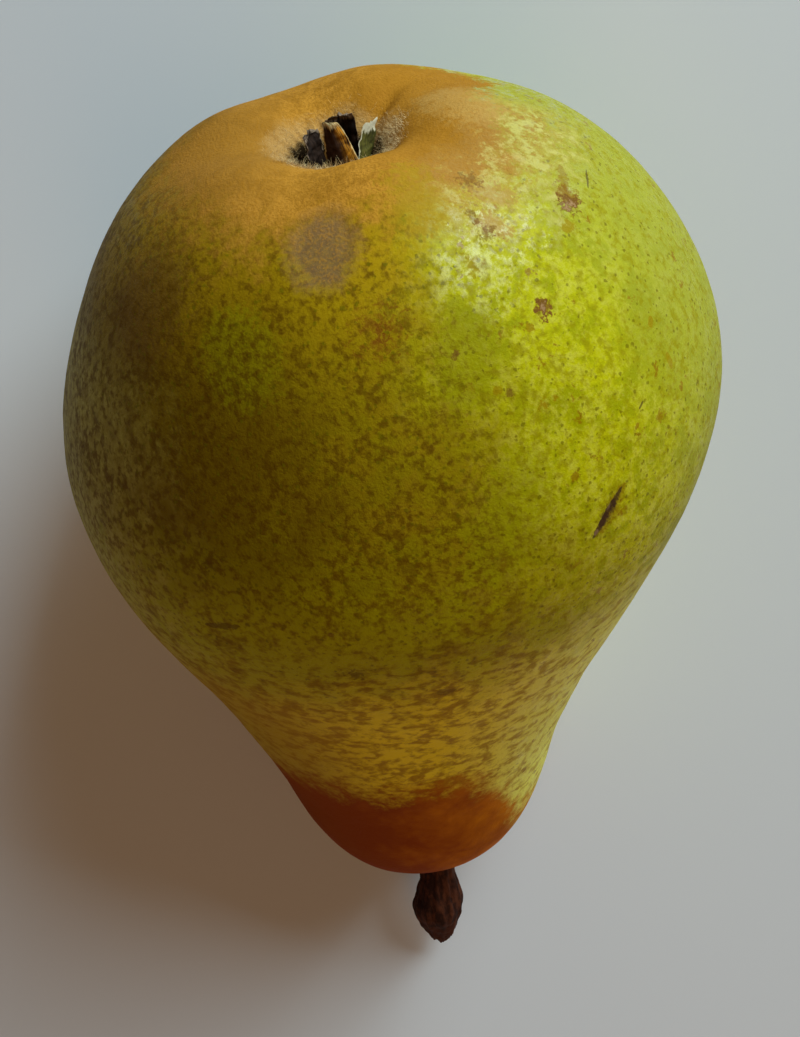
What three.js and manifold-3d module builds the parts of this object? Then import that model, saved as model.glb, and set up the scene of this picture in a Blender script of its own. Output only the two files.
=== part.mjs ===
/**
 * A pear as picked, lying on its side: the fruit, its stalk, and the dried calyx in its eye.
 *
 * Millimetres. Every piece is drawn in the growing frame: the core runs along +X from the eye
 * to the stalk, +Y is sideways and +Z is the side that faces up. The whole is then leaned
 * neck down until the bulb and the neck both touch the ground, z = 0. The origin is the point
 * where the bulb rests.
 */
import * as THREE from "three";
import { mergeVertices } from "three/addons/utils/BufferGeometryUtils.js";
import Module from "manifold-3d";

const wasm = await Module();
wasm.setup();

// Fruit
const LENGTH = 95.2;
const RADIUS = 35;
const RING_STEP = 3;
const FRUIT_SIDES = 60;
// Half outline from the eye's mouth over the rim and the belly to the stalk's mouth,
// as shares of LENGTH along the core and of RADIUS away from it
const OUTLINE = [
  [0.0375, 0.115], [0.0135, 0.169], [0, 0.291], [0.0135, 0.476], [0.067, 0.695],
  [0.176, 0.893], [0.311, 0.984], [0.446, 0.908], [0.581, 0.737], [0.695, 0.6],
  [0.788, 0.507], [0.871, 0.441], [0.939, 0.36], [0.981, 0.246], [1, 0.131], [0.996, 0.074],
];
// The neck bends sideways, the belly is a little oval and one shoulder is fuller
const NECK_SWAY = 5.5;
const OVAL = { amount: 0.012, turn: 40 };
const SHOULDER = { amount: 0.046, turn: -15, at: 0.12, reach: 0.17 };
// Five low swellings round the eye, and one crease that runs out of it
const EYE_LOBES = { height: 0.5, at: 0.38, reach: 0.2 };
const CREASE = { depth: 1.1, turn: -46, halfWidth: 1.2, at: 7, reach: 3.6 };

// Hollows that hold the calyx and the stalk
const CUP = { depth: 5.2, floorRadius: 3.6 };
const SOCKET = { depth: 5.2, floorRadius: 2.5 };

// Rest: how far the core leans, how much the fruit is pressed flat, and where the bulb ends
const LEAN = 21.8;
const FLAT_DEPTH = 0.45;
const BULB_END = 60;

// Stalk: distance along the core, sideways, upwards, half width and half height
const STEM_SIDES = 14;
const STEM_STATIONS = [
  [90.2, -5.5, 0, 2.05, 2.05], [94.5, -5.5, 0, 2.1, 2.1], [98.5, -5.8, 0.2, 2, 1.9],
  [102.5, -6.4, 0.6, 2.2, 2], [105.8, -6.9, 1, 2.9, 2.5], [108.2, -7.2, 1.3, 3.25, 2.7],
  [110.6, -7.4, 1.4, 2.6, 2.1], [112.8, -7.6, 1.6, 1.6, 1.3], [114.2, -7.7, 1.8, 0.6, 0.5],
];
const STEM_KNOTS = { height: 0.07, around: 3, along: 0.55, from: 96 };

// Calyx: a collar at the bottom of the cup, with one sepal every fifth of a turn
const COLLAR = { outer: 3.3, inner: 2.2, top: 4.6, bottom: 8.45, bevel: 0.3, sides: 30 };
const SEPAL_ROOT = { away: 2.72, along: 6, knee: 0.55 };
const SEPAL_THICKNESS = 0.7;
const SEPAL_CHANNEL = 0.22;
const SEPAL_SECTIONS = 7;
const SEPAL_TURN = 3;
// Where each tip ends along the core, how far it moves outwards and sideways from the root,
// the blade's width, and the share of it that the tip keeps
const SEPALS = [
  { tip: 0.5, outward: 1.7, sideways: -0.4, width: 2, point: 0.35 },
  { tip: -1.5, outward: -0.35, sideways: 0.6, width: 2.8, point: 0.3 },
  { tip: 3.7, outward: -0.4, sideways: 0.2, width: 1.7, point: 0.6 },
  { tip: 0.9, outward: -0.35, sideways: 0.3, width: 2.1, point: 0.85 },
  { tip: 0.3, outward: 0.4, sideways: 0.1, width: 2.7, point: 0.75 },
];
// Corners of a sepal's section: across the blade, and outwards through its thickness
const SEPAL_CORNERS = [[1, 0.5], [0, 0.5], [-1, 0.5], [-1, -0.5], [0, -0.5], [1, -0.5]];

// Withered stamens on a plug inside the collar
const PLUG = { outer: 1.85, top: 5.6, bottom: 8.45, bevel: 0.3, sides: 20 };
const STAMEN = { count: 9, halfWidth: 0.32, sides: 5, root: 6.2, ring: 1.15, shortest: 2.2, longest: 4 };
const GOLDEN_TURN = Math.PI * (3 - Math.sqrt(5));

const radians = THREE.MathUtils.degToRad;
const { lerp, smoothstep } = THREE.MathUtils;

/** A bell of height 1 at its centre, falling off over its reach. */
function bell(value, centre, reach) {
  return Math.exp(-(((value - centre) / reach) ** 2));
}

/** Turns from 0 to a full circle, in equal steps. */
function turnsOf(sides) {
  return Array.from({ length: sides }, (_, side) => (2 * Math.PI * side) / sides);
}

/** Sideways place of the core at a distance along it. */
function coreSway(along) {
  return -NECK_SWAY * smoothstep(along, 0.2 * LENGTH, LENGTH);
}

/** How far the crease sinks the skin at a distance and a turn round the core. */
function creaseDepth(away, turn) {
  const offTurn = turn - radians(CREASE.turn);
  const offLine = away * Math.atan2(Math.sin(offTurn), Math.cos(offTurn));
  return CREASE.depth * bell(away, CREASE.at, CREASE.reach) * bell(offLine, 0, CREASE.halfWidth);
}

/** The skin's point for a place on the half outline and a turn round the core. */
function skinPoint(along, away, turn) {
  const share = along / LENGTH;
  const shoulder = SHOULDER.amount * bell(share, SHOULDER.at, SHOULDER.reach);
  const belly = smoothstep(share, 0.05, 0.3) * (1 - smoothstep(share, 0.55, 0.85));
  const fuller = shoulder * Math.cos(turn - radians(SHOULDER.turn));
  const oval = OVAL.amount * belly * Math.cos(2 * (turn - radians(OVAL.turn)));
  const radius = away * (1 + fuller + oval);
  const nearEye = 1 - smoothstep(share, 0.1, 0.3);
  const lobes = EYE_LOBES.height * bell(radius / RADIUS, EYE_LOBES.at, EYE_LOBES.reach);
  const raised = lobes * Math.cos(5 * (turn - radians(SEPAL_TURN))) - creaseDepth(radius, turn);
  return new THREE.Vector3(
    along - raised * nearEye,
    radius * Math.cos(turn) + coreSway(along),
    radius * Math.sin(turn),
  );
}

/** Closed solid through rings of equal length, with a fan over each end. */
function loft(rings) {
  const sides = rings[0].length;
  const middle = (ring) => ring.reduce((sum, point) => sum.add(point), new THREE.Vector3()).divideScalar(sides);
  const points = [...rings.flat(), middle(rings[0]), middle(rings[rings.length - 1])];
  const first = points.length - 2;
  const last = points.length - 1;
  const lastRing = (rings.length - 1) * sides;
  const faces = [];
  for (let side = 0; side < sides; side += 1) {
    const next = (side + 1) % sides;
    faces.push(first, next, side, last, lastRing + side, lastRing + next);
    for (let here = 0; here < lastRing; here += sides) {
      const there = here + sides;
      faces.push(here + side, here + next, there + next, here + side, there + next, there + side);
    }
  }
  const geometry = new THREE.BufferGeometry();
  const numbers = points.flatMap((point) => point.toArray());
  geometry.setAttribute("position", new THREE.Float32BufferAttribute(numbers, 3));
  geometry.setIndex(faces);
  return geometry;
}

/** One solid made of overlapping closed geometries. */
function fuse(geometries) {
  const solids = geometries.map((geometry) => {
    geometry.deleteAttribute("normal");
    geometry.deleteAttribute("uv");
    const merged = mergeVertices(geometry);
    const vertProperties = new Float32Array(merged.attributes.position.array);
    const triVerts = new Uint32Array(merged.index.array);
    return new wasm.Manifold(new wasm.Mesh({ numProp: 3, vertProperties, triVerts }));
  });
  const mesh = solids.reduce((whole, solid) => whole.add(solid)).getMesh();
  const fused = new THREE.BufferGeometry();
  fused.setAttribute("position", new THREE.BufferAttribute(mesh.vertProperties, 3));
  fused.setIndex(new THREE.BufferAttribute(mesh.triVerts, 1));
  return fused;
}

/** Places on the fruit's half outline, with the walls of the cup and the socket at its ends. */
function fruitStations() {
  const outline = OUTLINE.map(([along, away]) => new THREE.Vector3(along * LENGTH, away * RADIUS, 0));
  const curve = new THREE.CatmullRomCurve3(outline, false, "centripetal");
  const mouth = outline[0];
  const end = outline[outline.length - 1];
  const stations = [
    [mouth.x + CUP.depth, CUP.floorRadius],
    [mouth.x + CUP.depth / 2, (CUP.floorRadius + mouth.y) / 2],
  ];
  for (let index = 0; index < outline.length - 1; index += 1) {
    const steps = Math.max(2, Math.round(outline[index].distanceTo(outline[index + 1]) / RING_STEP));
    for (let step = 0; step < steps; step += 1) {
      const point = curve.getPoint((index + step / steps) / (outline.length - 1));
      stations.push([point.x, point.y]);
    }
  }
  stations.push([end.x, end.y], [end.x - SOCKET.depth, SOCKET.floorRadius]);
  return stations;
}

/** The fruit in the growing frame, before it is set down. */
function fruit() {
  const turns = turnsOf(FRUIT_SIDES);
  return loft(fruitStations().map(([along, away]) => turns.map((turn) => skinPoint(along, away, turn))));
}

/** Every point of a geometry after a move. */
function movedPoints(geometry, move) {
  const points = geometry.attributes.position;
  return Array.from({ length: points.count }, (_, index) => (
    new THREE.Vector3().fromBufferAttribute(points, index).applyMatrix4(move)
  ));
}

/** The move that sets the growing frame down, with the bulb's flat spot round the origin. */
function restingPlace(geometry) {
  const lean = new THREE.Matrix4().makeRotationY(radians(LEAN));
  const leaned = movedPoints(geometry, lean);
  const ground = Math.min(...leaned.map((point) => point.z)) + FLAT_DEPTH;
  const pressed = leaned.filter((point) => point.z < ground && point.x < BULB_END);
  const spot = pressed.reduce((sum, point) => sum.add(point), new THREE.Vector3()).divideScalar(pressed.length);
  return lean.premultiply(new THREE.Matrix4().makeTranslation(-spot.x, -spot.y, -ground));
}

/** Presses every point that would be under the ground up onto it. */
function pressFlat(geometry, place) {
  const back = place.clone().invert();
  movedPoints(geometry, place).forEach((point, index) => {
    const pressed = point.setZ(Math.max(point.z, 0)).applyMatrix4(back);
    geometry.attributes.position.setXYZ(index, pressed.x, pressed.y, pressed.z);
  });
  return geometry;
}

/** The woody stalk: slender at the fruit, swollen at its outer end and snapped to a blunt wedge. */
function stem() {
  return loft(STEM_STATIONS.map(([along, sideways, up, halfWidth, halfHeight]) => {
    const knots = along > STEM_KNOTS.from ? STEM_KNOTS.height : 0;
    return turnsOf(STEM_SIDES).map((turn) => {
      const scale = 1 + knots * Math.sin(STEM_KNOTS.around * turn + STEM_KNOTS.along * along);
      const across = halfWidth * scale * Math.cos(turn);
      const over = halfHeight * scale * Math.sin(turn);
      return new THREE.Vector3(along, sideways + across, up + over);
    });
  }));
}

/** A solid turned round the core from an outline of distances along it and away from it. */
function turned(outline, sides) {
  const points = outline.map(([along, away]) => new THREE.Vector2(away, along));
  return new THREE.LatheGeometry(points, sides).rotateZ(-Math.PI / 2);
}

/** The collar that the sepals grow from. */
function collar({ outer, inner, top, bottom, bevel, sides }) {
  const start = [top + bevel, inner];
  const outline = [start, [top, outer - bevel], [top + bevel, outer], [bottom, outer], [bottom, inner], start];
  return turned(outline, sides);
}

/** One sepal: a thin channelled blade that rises out of the collar and bends to its tip. */
function sepal({ tip, outward, sideways, width, point }, index) {
  const turn = radians(SEPAL_TURN + (360 / SEPALS.length) * index);
  const away = new THREE.Vector3(0, Math.cos(turn), Math.sin(turn));
  const aside = new THREE.Vector3(0, -Math.sin(turn), Math.cos(turn));
  const root = new THREE.Vector3(SEPAL_ROOT.along, 0, 0).addScaledVector(away, SEPAL_ROOT.away);
  const knee = root.clone().setX(lerp(SEPAL_ROOT.along, tip, SEPAL_ROOT.knee));
  const end = root.clone().setX(tip).addScaledVector(away, outward).addScaledVector(aside, sideways);
  const spine = new THREE.QuadraticBezierCurve3(root, knee, end);
  return loft(Array.from({ length: SEPAL_SECTIONS }, (_, section) => {
    const share = section / (SEPAL_SECTIONS - 1);
    const half = (width / 2) * lerp(1, point, share ** 2);
    const face = new THREE.Vector3().crossVectors(spine.getTangent(share), aside).normalize();
    return SEPAL_CORNERS.map(([across, level]) => {
      const outwards = level * SEPAL_THICKNESS - Math.abs(across) * SEPAL_CHANNEL * half;
      return spine.getPoint(share).addScaledVector(aside, across * half).addScaledVector(face, outwards);
    });
  }));
}

/** One withered stamen: a thin bent filament that leans out as it rises. */
function stamen(index) {
  const share = (index + 0.5) / STAMEN.count;
  const turn = index * GOLDEN_TURN;
  const away = STAMEN.ring * Math.sqrt(share);
  const rise = lerp(STAMEN.longest, STAMEN.shortest, share);
  return loft([0, 0.35, 0.7, 1].map((level) => {
    const lean = 1 + 0.25 * level * level;
    const bend = 0.25 * Math.sin(Math.PI * level + index);
    const half = STAMEN.halfWidth * (1 - 0.06 * level);
    return turnsOf(STAMEN.sides).map((around) => new THREE.Vector3(
      STAMEN.root - rise * level,
      away * lean * Math.cos(turn) + bend * Math.sin(turn) + half * Math.sin(around),
      away * lean * Math.sin(turn) - bend * Math.cos(turn) + half * Math.cos(around),
    ));
  }));
}

/** The plug at the bottom of the eye, with its stamens. */
function stamens({ outer, top, bottom, bevel, sides }) {
  const plug = turned([[top, 0], [top, outer - bevel], [top + bevel, outer], [bottom, outer], [bottom, 0]], sides);
  return fuse([plug, ...Array.from({ length: STAMEN.count }, (_, index) => stamen(index))]);
}

/** A named mesh with a rough, unpolished finish. */
function piece(name, geometry, color, roughness) {
  geometry.computeVertexNormals();
  const mesh = new THREE.Mesh(geometry, new THREE.MeshStandardMaterial({ color, roughness, metalness: 0 }));
  mesh.name = name;
  return mesh;
}

const wholeFruit = fruit();
const place = restingPlace(wholeFruit);
const pear = new THREE.Group();
pear.add(
  piece("fruit", pressFlat(wholeFruit, place), "#8c8a2a", 0.55),
  piece("stem", stem(), "#4a2d20", 0.85),
  piece("sepals", fuse([collar(COLLAR), ...SEPALS.map(sepal)]), "#5b3c1d", 0.9),
  piece("stamens", stamens(PLUG), "#2c2118", 0.95),
);
pear.applyMatrix4(place);

export default pear;
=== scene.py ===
"""A pear lying on its side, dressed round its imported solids.

Shapes are worked out in the growing frame, in millimetres: the core runs along +X from the eye
to the stalk, +Y is sideways and +Z is the side that faces up. RestingPlace sets them down in the
row frame, in metres. Shader places and sizes are in the growing frame's millimetres too.
"""

import logging
import math
from dataclasses import dataclass, field
from enum import Enum

import bpy
import numpy as np
from mathutils import Matrix, Vector, noise


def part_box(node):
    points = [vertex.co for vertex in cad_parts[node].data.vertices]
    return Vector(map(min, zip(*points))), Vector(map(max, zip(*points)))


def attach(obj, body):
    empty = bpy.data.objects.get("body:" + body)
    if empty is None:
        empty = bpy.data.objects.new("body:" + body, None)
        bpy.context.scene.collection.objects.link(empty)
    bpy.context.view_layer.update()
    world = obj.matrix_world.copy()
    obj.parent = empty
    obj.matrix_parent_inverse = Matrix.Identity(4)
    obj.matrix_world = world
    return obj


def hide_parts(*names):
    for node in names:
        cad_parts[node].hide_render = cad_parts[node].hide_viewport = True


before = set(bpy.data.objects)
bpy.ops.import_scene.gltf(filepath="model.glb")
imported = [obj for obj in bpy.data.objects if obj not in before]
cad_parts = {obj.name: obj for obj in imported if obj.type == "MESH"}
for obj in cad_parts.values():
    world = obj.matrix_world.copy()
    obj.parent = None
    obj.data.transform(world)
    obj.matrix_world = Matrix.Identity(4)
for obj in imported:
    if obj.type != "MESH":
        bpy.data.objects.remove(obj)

LOG = logging.getLogger("pear")
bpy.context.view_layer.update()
METRES = 0.001  # in a millimetre
BODY = "root"
SEPALS = 5
GOLDEN_TURN = math.pi * (3 - math.sqrt(5))
PHOTO_HEIGHT = 1037  # pixels
SENSOR = 36.0  # millimetres
GRAIN_SWING = 2.5  # turns the spread of a grain round 0.5 into a border's wandering

Colour = tuple[float, float, float]
Point = tuple[float, float, float]
Span = tuple[float, float]


class Maths(Enum):
    """The sums that shader numbers and vectors go through."""

    ADD = "ADD"
    SUBTRACT = "SUBTRACT"
    MULTIPLY = "MULTIPLY"
    DIVIDE = "DIVIDE"
    POWER = "POWER"
    LARGER = "MAXIMUM"
    SMALLER = "MINIMUM"


class Kind(Enum):
    """What a shader socket carries."""

    NUMBER = "VALUE"
    VECTOR = "VECTOR"
    COLOUR = "RGBA"


def smooth_step(value: np.ndarray, low: float, high: float) -> np.ndarray:
    """Eases from 0 where value is low to 1 where it is high."""
    share = np.clip((value - low) / (high - low), 0, 1)
    return share * share * (3 - 2 * share)


def bell(value: np.ndarray, centre: float, reach: float) -> np.ndarray:
    """A bell of height 1 at its centre, falling off over its reach."""
    return np.exp(-(((value - centre) / reach) ** 2))


def joined(*coordinates: np.ndarray | float) -> np.ndarray:
    """Points from their coordinates, which may be numbers, rows or columns."""
    return np.stack(np.broadcast_arrays(*coordinates), axis=-1)


def full_turn(count: int) -> np.ndarray:
    """Angles evenly spaced over a full turn, in radians."""
    return np.linspace(0, 2 * np.pi, count, endpoint=False)


def turned_from(turns: np.ndarray, centre: float) -> np.ndarray:
    """Angles as seen from a centre given in degrees, in radians from -pi to pi."""
    off = turns - math.radians(centre)
    return np.arctan2(np.sin(off), np.cos(off))


def unit(vectors: np.ndarray) -> np.ndarray:
    """Vectors scaled to length 1, with the coordinates last."""
    return vectors / np.maximum(np.linalg.norm(vectors, axis=-1, keepdims=True), 1e-9)


@dataclass(frozen=True)
class Relief:
    """Smooth random relief that is the same on each run.

    Args:
        height: How far it mostly rises and sinks.
        wavelength: Size of its largest bumps, in millimetres.
        octaves: How many finer layers are added.
        shift: Moves the pattern, so that two layers differ.
    """

    height: float
    wavelength: float
    octaves: int
    shift: float

    def at(self, points: np.ndarray) -> np.ndarray:
        """Heights at points that have their three coordinates last."""
        flat = points.reshape(-1, 3) / self.wavelength + self.shift
        heights = [noise.fractal(Vector(place), 1.0, 2.0, self.octaves) for place in flat]
        return self.height * np.array(heights).reshape(points.shape[:-1])


def through(points: np.ndarray, shares: np.ndarray) -> np.ndarray:
    """Follows a natural cubic spline through points.

    Args:
        points: The points, one a row.
        shares: How far along to read it, from 0 to 1.

    Returns:
        One point for each share.
    """
    gaps = np.sqrt(np.linalg.norm(np.diff(points, axis=0), axis=1))
    knots = np.concatenate([[0], np.cumsum(gaps)])
    size = len(points)
    system = np.eye(size)
    right = np.zeros_like(points)
    for row in range(1, size - 1):
        before, after = gaps[row - 1], gaps[row]
        system[row, row - 1 : row + 2] = before, 2 * (before + after), after
        slope_after = (points[row + 1] - points[row]) / after
        slope_before = (points[row] - points[row - 1]) / before
        right[row] = 6 * (slope_after - slope_before)
    bends = np.linalg.solve(system, right)
    reached = np.asarray(shares) * knots[-1]
    span = np.clip(np.searchsorted(knots, reached, side="right") - 1, 0, size - 2)
    ahead = ((reached - knots[span]) / gaps[span])[:, None]
    back = 1 - ahead
    weight = (gaps[span] ** 2 / 6)[:, None]
    straight = back * points[span] + ahead * points[span + 1]
    return straight + weight * ((back**3 - back) * bends[span] + (ahead**3 - ahead) * bends[span + 1])


def turned_rings(outline: tuple[Span, ...], rings: int, sides: int) -> np.ndarray:
    """A form turned about the core.

    Args:
        outline: Points of its half outline, along the core and away from it.
        rings: How many rings it has.
        sides: How many points a ring has.

    Returns:
        Points with ring, side and coordinate axes.
    """
    stations = through(np.array(outline), np.linspace(0, 1, rings))
    along, away = stations[:, :1], stations[:, 1:]
    turns = full_turn(sides)
    return joined(along, away * np.cos(turns), away * np.sin(turns))


@dataclass(frozen=True)
class RestingPlace:
    """Sets the growing frame down in the row frame.

    Args:
        lean: How far the core leans neck down, in degrees.
        shift: Where the growing frame's origin goes, in millimetres.
    """

    lean: float
    shift: tuple[float, float, float] = (0.0, 0.0, 0.0)

    def turning(self) -> np.ndarray:
        """The rotation from the growing frame to the row frame."""
        return np.array(Matrix.Rotation(math.radians(self.lean), 3, "Y"))

    def set_down(self, points: np.ndarray) -> np.ndarray:
        """Growing-frame millimetres as row-frame millimetres."""
        return points @ self.turning().T + np.array(self.shift)

    def direction(self, vector: np.ndarray) -> np.ndarray:
        """A growing-frame direction in the row frame."""
        return self.turning() @ np.asarray(vector)


class Shell:
    """Gathers the points and faces of one piece, in the growing frame."""

    def __init__(self) -> None:
        """Starts with nothing in it."""
        self.points: list[np.ndarray] = []
        self.faces: list[tuple[int, ...]] = []
        self.labels: list[np.ndarray] = []
        self.count = 0

    def add_tube(self, rings: np.ndarray, labels: np.ndarray | None = None) -> None:
        """Adds a closed tube through rings, with a fan over each end.

        Args:
            rings: Points with ring, side and coordinate axes, the sides right-handed along the tube.
            labels: A pair of numbers for each point, kept as the map named blade.
        """
        length, sides, _ = rings.shape
        start = self.count
        labels = np.zeros((length, sides, 2)) if labels is None else labels
        ends = np.array([rings[0].mean(axis=0), rings[-1].mean(axis=0)])
        self.points.append(np.concatenate([rings.reshape(-1, 3), ends]))
        end_labels = np.array([labels[0].mean(axis=0), labels[-1].mean(axis=0)])
        self.labels.append(np.concatenate([labels.reshape(-1, 2), end_labels]))
        first = start + length * sides
        last_ring = start + (length - 1) * sides
        ring, side = np.meshgrid(np.arange(length - 1), np.arange(sides), indexing="ij")
        here = start + ring * sides
        following = (side + 1) % sides
        corners = (here + side, here + following, here + sides + following, here + sides + side)
        self.faces += np.stack(corners, axis=-1).reshape(-1, 4).tolist()
        for edge in range(sides):
            after = (edge + 1) % sides
            self.faces.append((first, start + after, start + edge))
            self.faces.append((first + 1, last_ring + edge, last_ring + after))
        self.count += length * sides + 2

    def to_object(self, name: str, place: RestingPlace) -> bpy.types.Object:
        """Makes the smooth-shaded object, set down in the row frame.

        Args:
            name: The object's name.
            place: How the growing frame lies.

        Returns:
            The new object, with nothing below the surface it lies on.
        """
        points = place.set_down(np.concatenate(self.points))
        points[:, 2] = np.maximum(points[:, 2], 0)
        mesh = bpy.data.meshes.new(name)
        mesh.from_pydata((points * METRES).tolist(), [], self.faces)
        mesh.polygons.foreach_set("use_smooth", [True] * len(mesh.polygons))
        corners = np.zeros(len(mesh.loops), dtype=np.int32)
        mesh.loops.foreach_get("vertex_index", corners)
        layer = mesh.uv_layers.new(name="blade")
        layer.data.foreach_set("uv", np.concatenate(self.labels)[corners].ravel())
        piece = bpy.data.objects.new(name, mesh)
        bpy.context.scene.collection.objects.link(piece)
        return piece


class Value:
    """A shader socket that takes part in Python sums."""

    def __init__(self, board: "Board", socket: bpy.types.NodeSocket, kind: Kind = Kind.NUMBER) -> None:
        """Wraps one output socket of a board."""
        self.board = board
        self.socket = socket
        self.kind = kind

    def _sum(self, maths: Maths, first: object, second: object) -> "Value":
        """Adds the node for one operation on two numbers or two vectors."""
        node_type = "ShaderNodeVectorMath" if self.kind is Kind.VECTOR else "ShaderNodeMath"
        return self.board.node(node_type, {"operation": maths.value}, {0: first, 1: second}, kind=self.kind)

    def __add__(self, other: object) -> "Value":
        """self + other"""
        return self._sum(Maths.ADD, self, other)

    def __radd__(self, other: object) -> "Value":
        """other + self"""
        return self._sum(Maths.ADD, other, self)

    def __sub__(self, other: object) -> "Value":
        """self - other"""
        return self._sum(Maths.SUBTRACT, self, other)

    def __rsub__(self, other: object) -> "Value":
        """other - self"""
        return self._sum(Maths.SUBTRACT, other, self)

    def __mul__(self, other: object) -> "Value":
        """self * other"""
        return self._sum(Maths.MULTIPLY, self, other)

    def __rmul__(self, other: object) -> "Value":
        """other * self"""
        return self._sum(Maths.MULTIPLY, other, self)

    def __truediv__(self, other: object) -> "Value":
        """self / other"""
        return self._sum(Maths.DIVIDE, self, other)

    def __rtruediv__(self, other: object) -> "Value":
        """other / self"""
        return self._sum(Maths.DIVIDE, other, self)

    def __pow__(self, other: object) -> "Value":
        """self ** other"""
        return self._sum(Maths.POWER, self, other)

    def __rpow__(self, other: object) -> "Value":
        """other ** self"""
        return self._sum(Maths.POWER, other, self)

    def larger(self, other: object) -> "Value":
        """The larger of self and other."""
        return self._sum(Maths.LARGER, self, other)

    def smaller(self, other: object) -> "Value":
        """The smaller of self and other."""
        return self._sum(Maths.SMALLER, self, other)


class Board:
    """The nodes of one material."""

    def __init__(self, name: str) -> None:
        """Starts an empty material.

        Args:
            name: The material's name.
        """
        self.material = bpy.data.materials.new(name)
        self.material.use_nodes = True
        self.tree = self.material.node_tree
        self.tree.nodes.clear()

    def node(
        self,
        node_type: str,
        settings: dict[str, object] | None = None,
        sockets: dict[int | str, object] | None = None,
        output: int | str = 0,
        kind: Kind = Kind.NUMBER,
    ) -> Value:
        """Adds one node.

        Args:
            node_type: Blender's name for the type.
            settings: Properties of the node, set before its sockets.
            sockets: A number, tuple or Value for each input.
            output: The output that the result wraps.
            kind: What that output carries.

        Returns:
            The output, ready for sums.
        """
        added = self.tree.nodes.new(node_type)
        for name, setting in (settings or {}).items():
            setattr(added, name, setting)
        for name, given in (sockets or {}).items():
            if isinstance(given, Value):
                self.tree.links.new(given.socket, added.inputs[name])
            elif added.inputs[name].type == "RGBA":
                added.inputs[name].default_value = (*given, 1.0)
            else:
                added.inputs[name].default_value = given
        return Value(self, added.outputs[output] if added.outputs else None, kind)

    def growing(self, place: RestingPlace) -> Value:
        """The shaded point in the growing frame's millimetres."""
        here = self.node("ShaderNodeTexCoord", output="Object", kind=Kind.VECTOR)
        back = place.turning().T @ -np.array(place.shift)
        sockets = {
            "Vector": here,
            "Location": tuple(back),
            "Rotation": (0.0, -math.radians(place.lean), 0.0),
            "Scale": (1 / METRES,) * 3,
        }
        return self.node("ShaderNodeMapping", {"vector_type": "POINT"}, sockets, kind=Kind.VECTOR)

    def parts(self, vector: Value) -> tuple[Value, Value, Value]:
        """The three numbers of a vector."""
        first = self.node("ShaderNodeSeparateXYZ", {}, {0: vector})
        outputs = first.socket.node.outputs
        return first, Value(self, outputs[1]), Value(self, outputs[2])

    def eased(self, value: Value, low: float | Value, high: float | Value) -> Value:
        """0 where value is at low, 1 where it is at high, eased between."""
        settings = {"interpolation_type": "SMOOTHSTEP"}
        return self.node("ShaderNodeMapRange", settings, {0: value, 1: low, 2: high, 3: 0.0, 4: 1.0})

    def grain(
        self, vector: Value, size: float, detail: float = 2.0, rough: float = 0.5, bent: float = 0.0
    ) -> Value:
        """Random mottling.

        Args:
            vector: Where it is read, in millimetres.
            size: Width of its largest patches, in millimetres.
            detail: How many finer layers it has.
            rough: How strong the finer layers are.
            bent: How far the patches are pulled out of shape.

        Returns:
            A number round 0.5.
        """
        shape = {"Scale": 1 / size, "Detail": detail, "Roughness": rough, "Distortion": bent}
        return self.node("ShaderNodeTexNoise", {}, {"Vector": vector} | shape)

    def cells(self, vector: Value, size: float) -> tuple[Value, Value]:
        """Scattered points.

        Args:
            vector: Where they are read, in millimetres.
            size: Mean distance between two points, in millimetres.

        Returns:
            The distance to the nearest point as a share of size, and a random number for that point.
        """
        near = self.node("ShaderNodeTexVoronoi", {}, {"Vector": vector, "Scale": 1 / size})
        colour = Value(self, near.socket.node.outputs["Color"], Kind.VECTOR)
        return near, self.parts(colour)[0]

    def scaled(self, vector: Value, scale: Point) -> Value:
        """A vector stretched along each axis."""
        settings = {"operation": "MULTIPLY"}
        return self.node("ShaderNodeVectorMath", settings, {0: vector, 1: scale}, kind=Kind.VECTOR)

    def away_from(self, vector: Value, point: Point) -> Value:
        """Distance from a fixed point, in millimetres."""
        settings = {"operation": "DISTANCE"}
        return self.node("ShaderNodeVectorMath", settings, {0: vector, 1: point}, output=1)

    def mixed(self, share: Value, first: object, second: object) -> Value:
        """A colour that goes from first to second as share goes from 0 to 1."""
        sockets = {0: share, 6: first, 7: second}
        return self.node("ShaderNodeMix", {"data_type": "RGBA"}, sockets, output=2, kind=Kind.COLOUR)

    def finish(
        self, shader: dict[str, object], height: Value | None = None, depth: float = 0.0
    ) -> bpy.types.Material:
        """Closes the material with its shader.

        Args:
            shader: Values for the shader's sockets.
            height: Relief from 0 to 1 that tilts the light, or None.
            depth: Height of that relief, in millimetres.

        Returns:
            The finished material.
        """
        if height is not None:
            relief = {"Height": height, "Distance": depth * METRES}
            shader = shader | {"Normal": self.node("ShaderNodeBump", {}, relief, kind=Kind.VECTOR)}
        surface = self.node("ShaderNodeBsdfPrincipled", {}, shader)
        self.node("ShaderNodeOutputMaterial", {}, {"Surface": surface})
        return self.material


def dress(piece: bpy.types.Object, material: bpy.types.Material, slot: str, node: str) -> None:
    """Gives a piece its material and its place in the frame.

    Args:
        piece: The Blender object.
        material: Its material.
        slot: The record's material slot that it stands for, which is only named in the log.
        node: The CAD node that it stands for.
    """
    piece.data.materials.append(material)
    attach(piece, BODY)
    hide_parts(node)
    LOG.info("%s: %d points, dressed as %s", piece.name, len(piece.data.vertices), slot)


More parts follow.
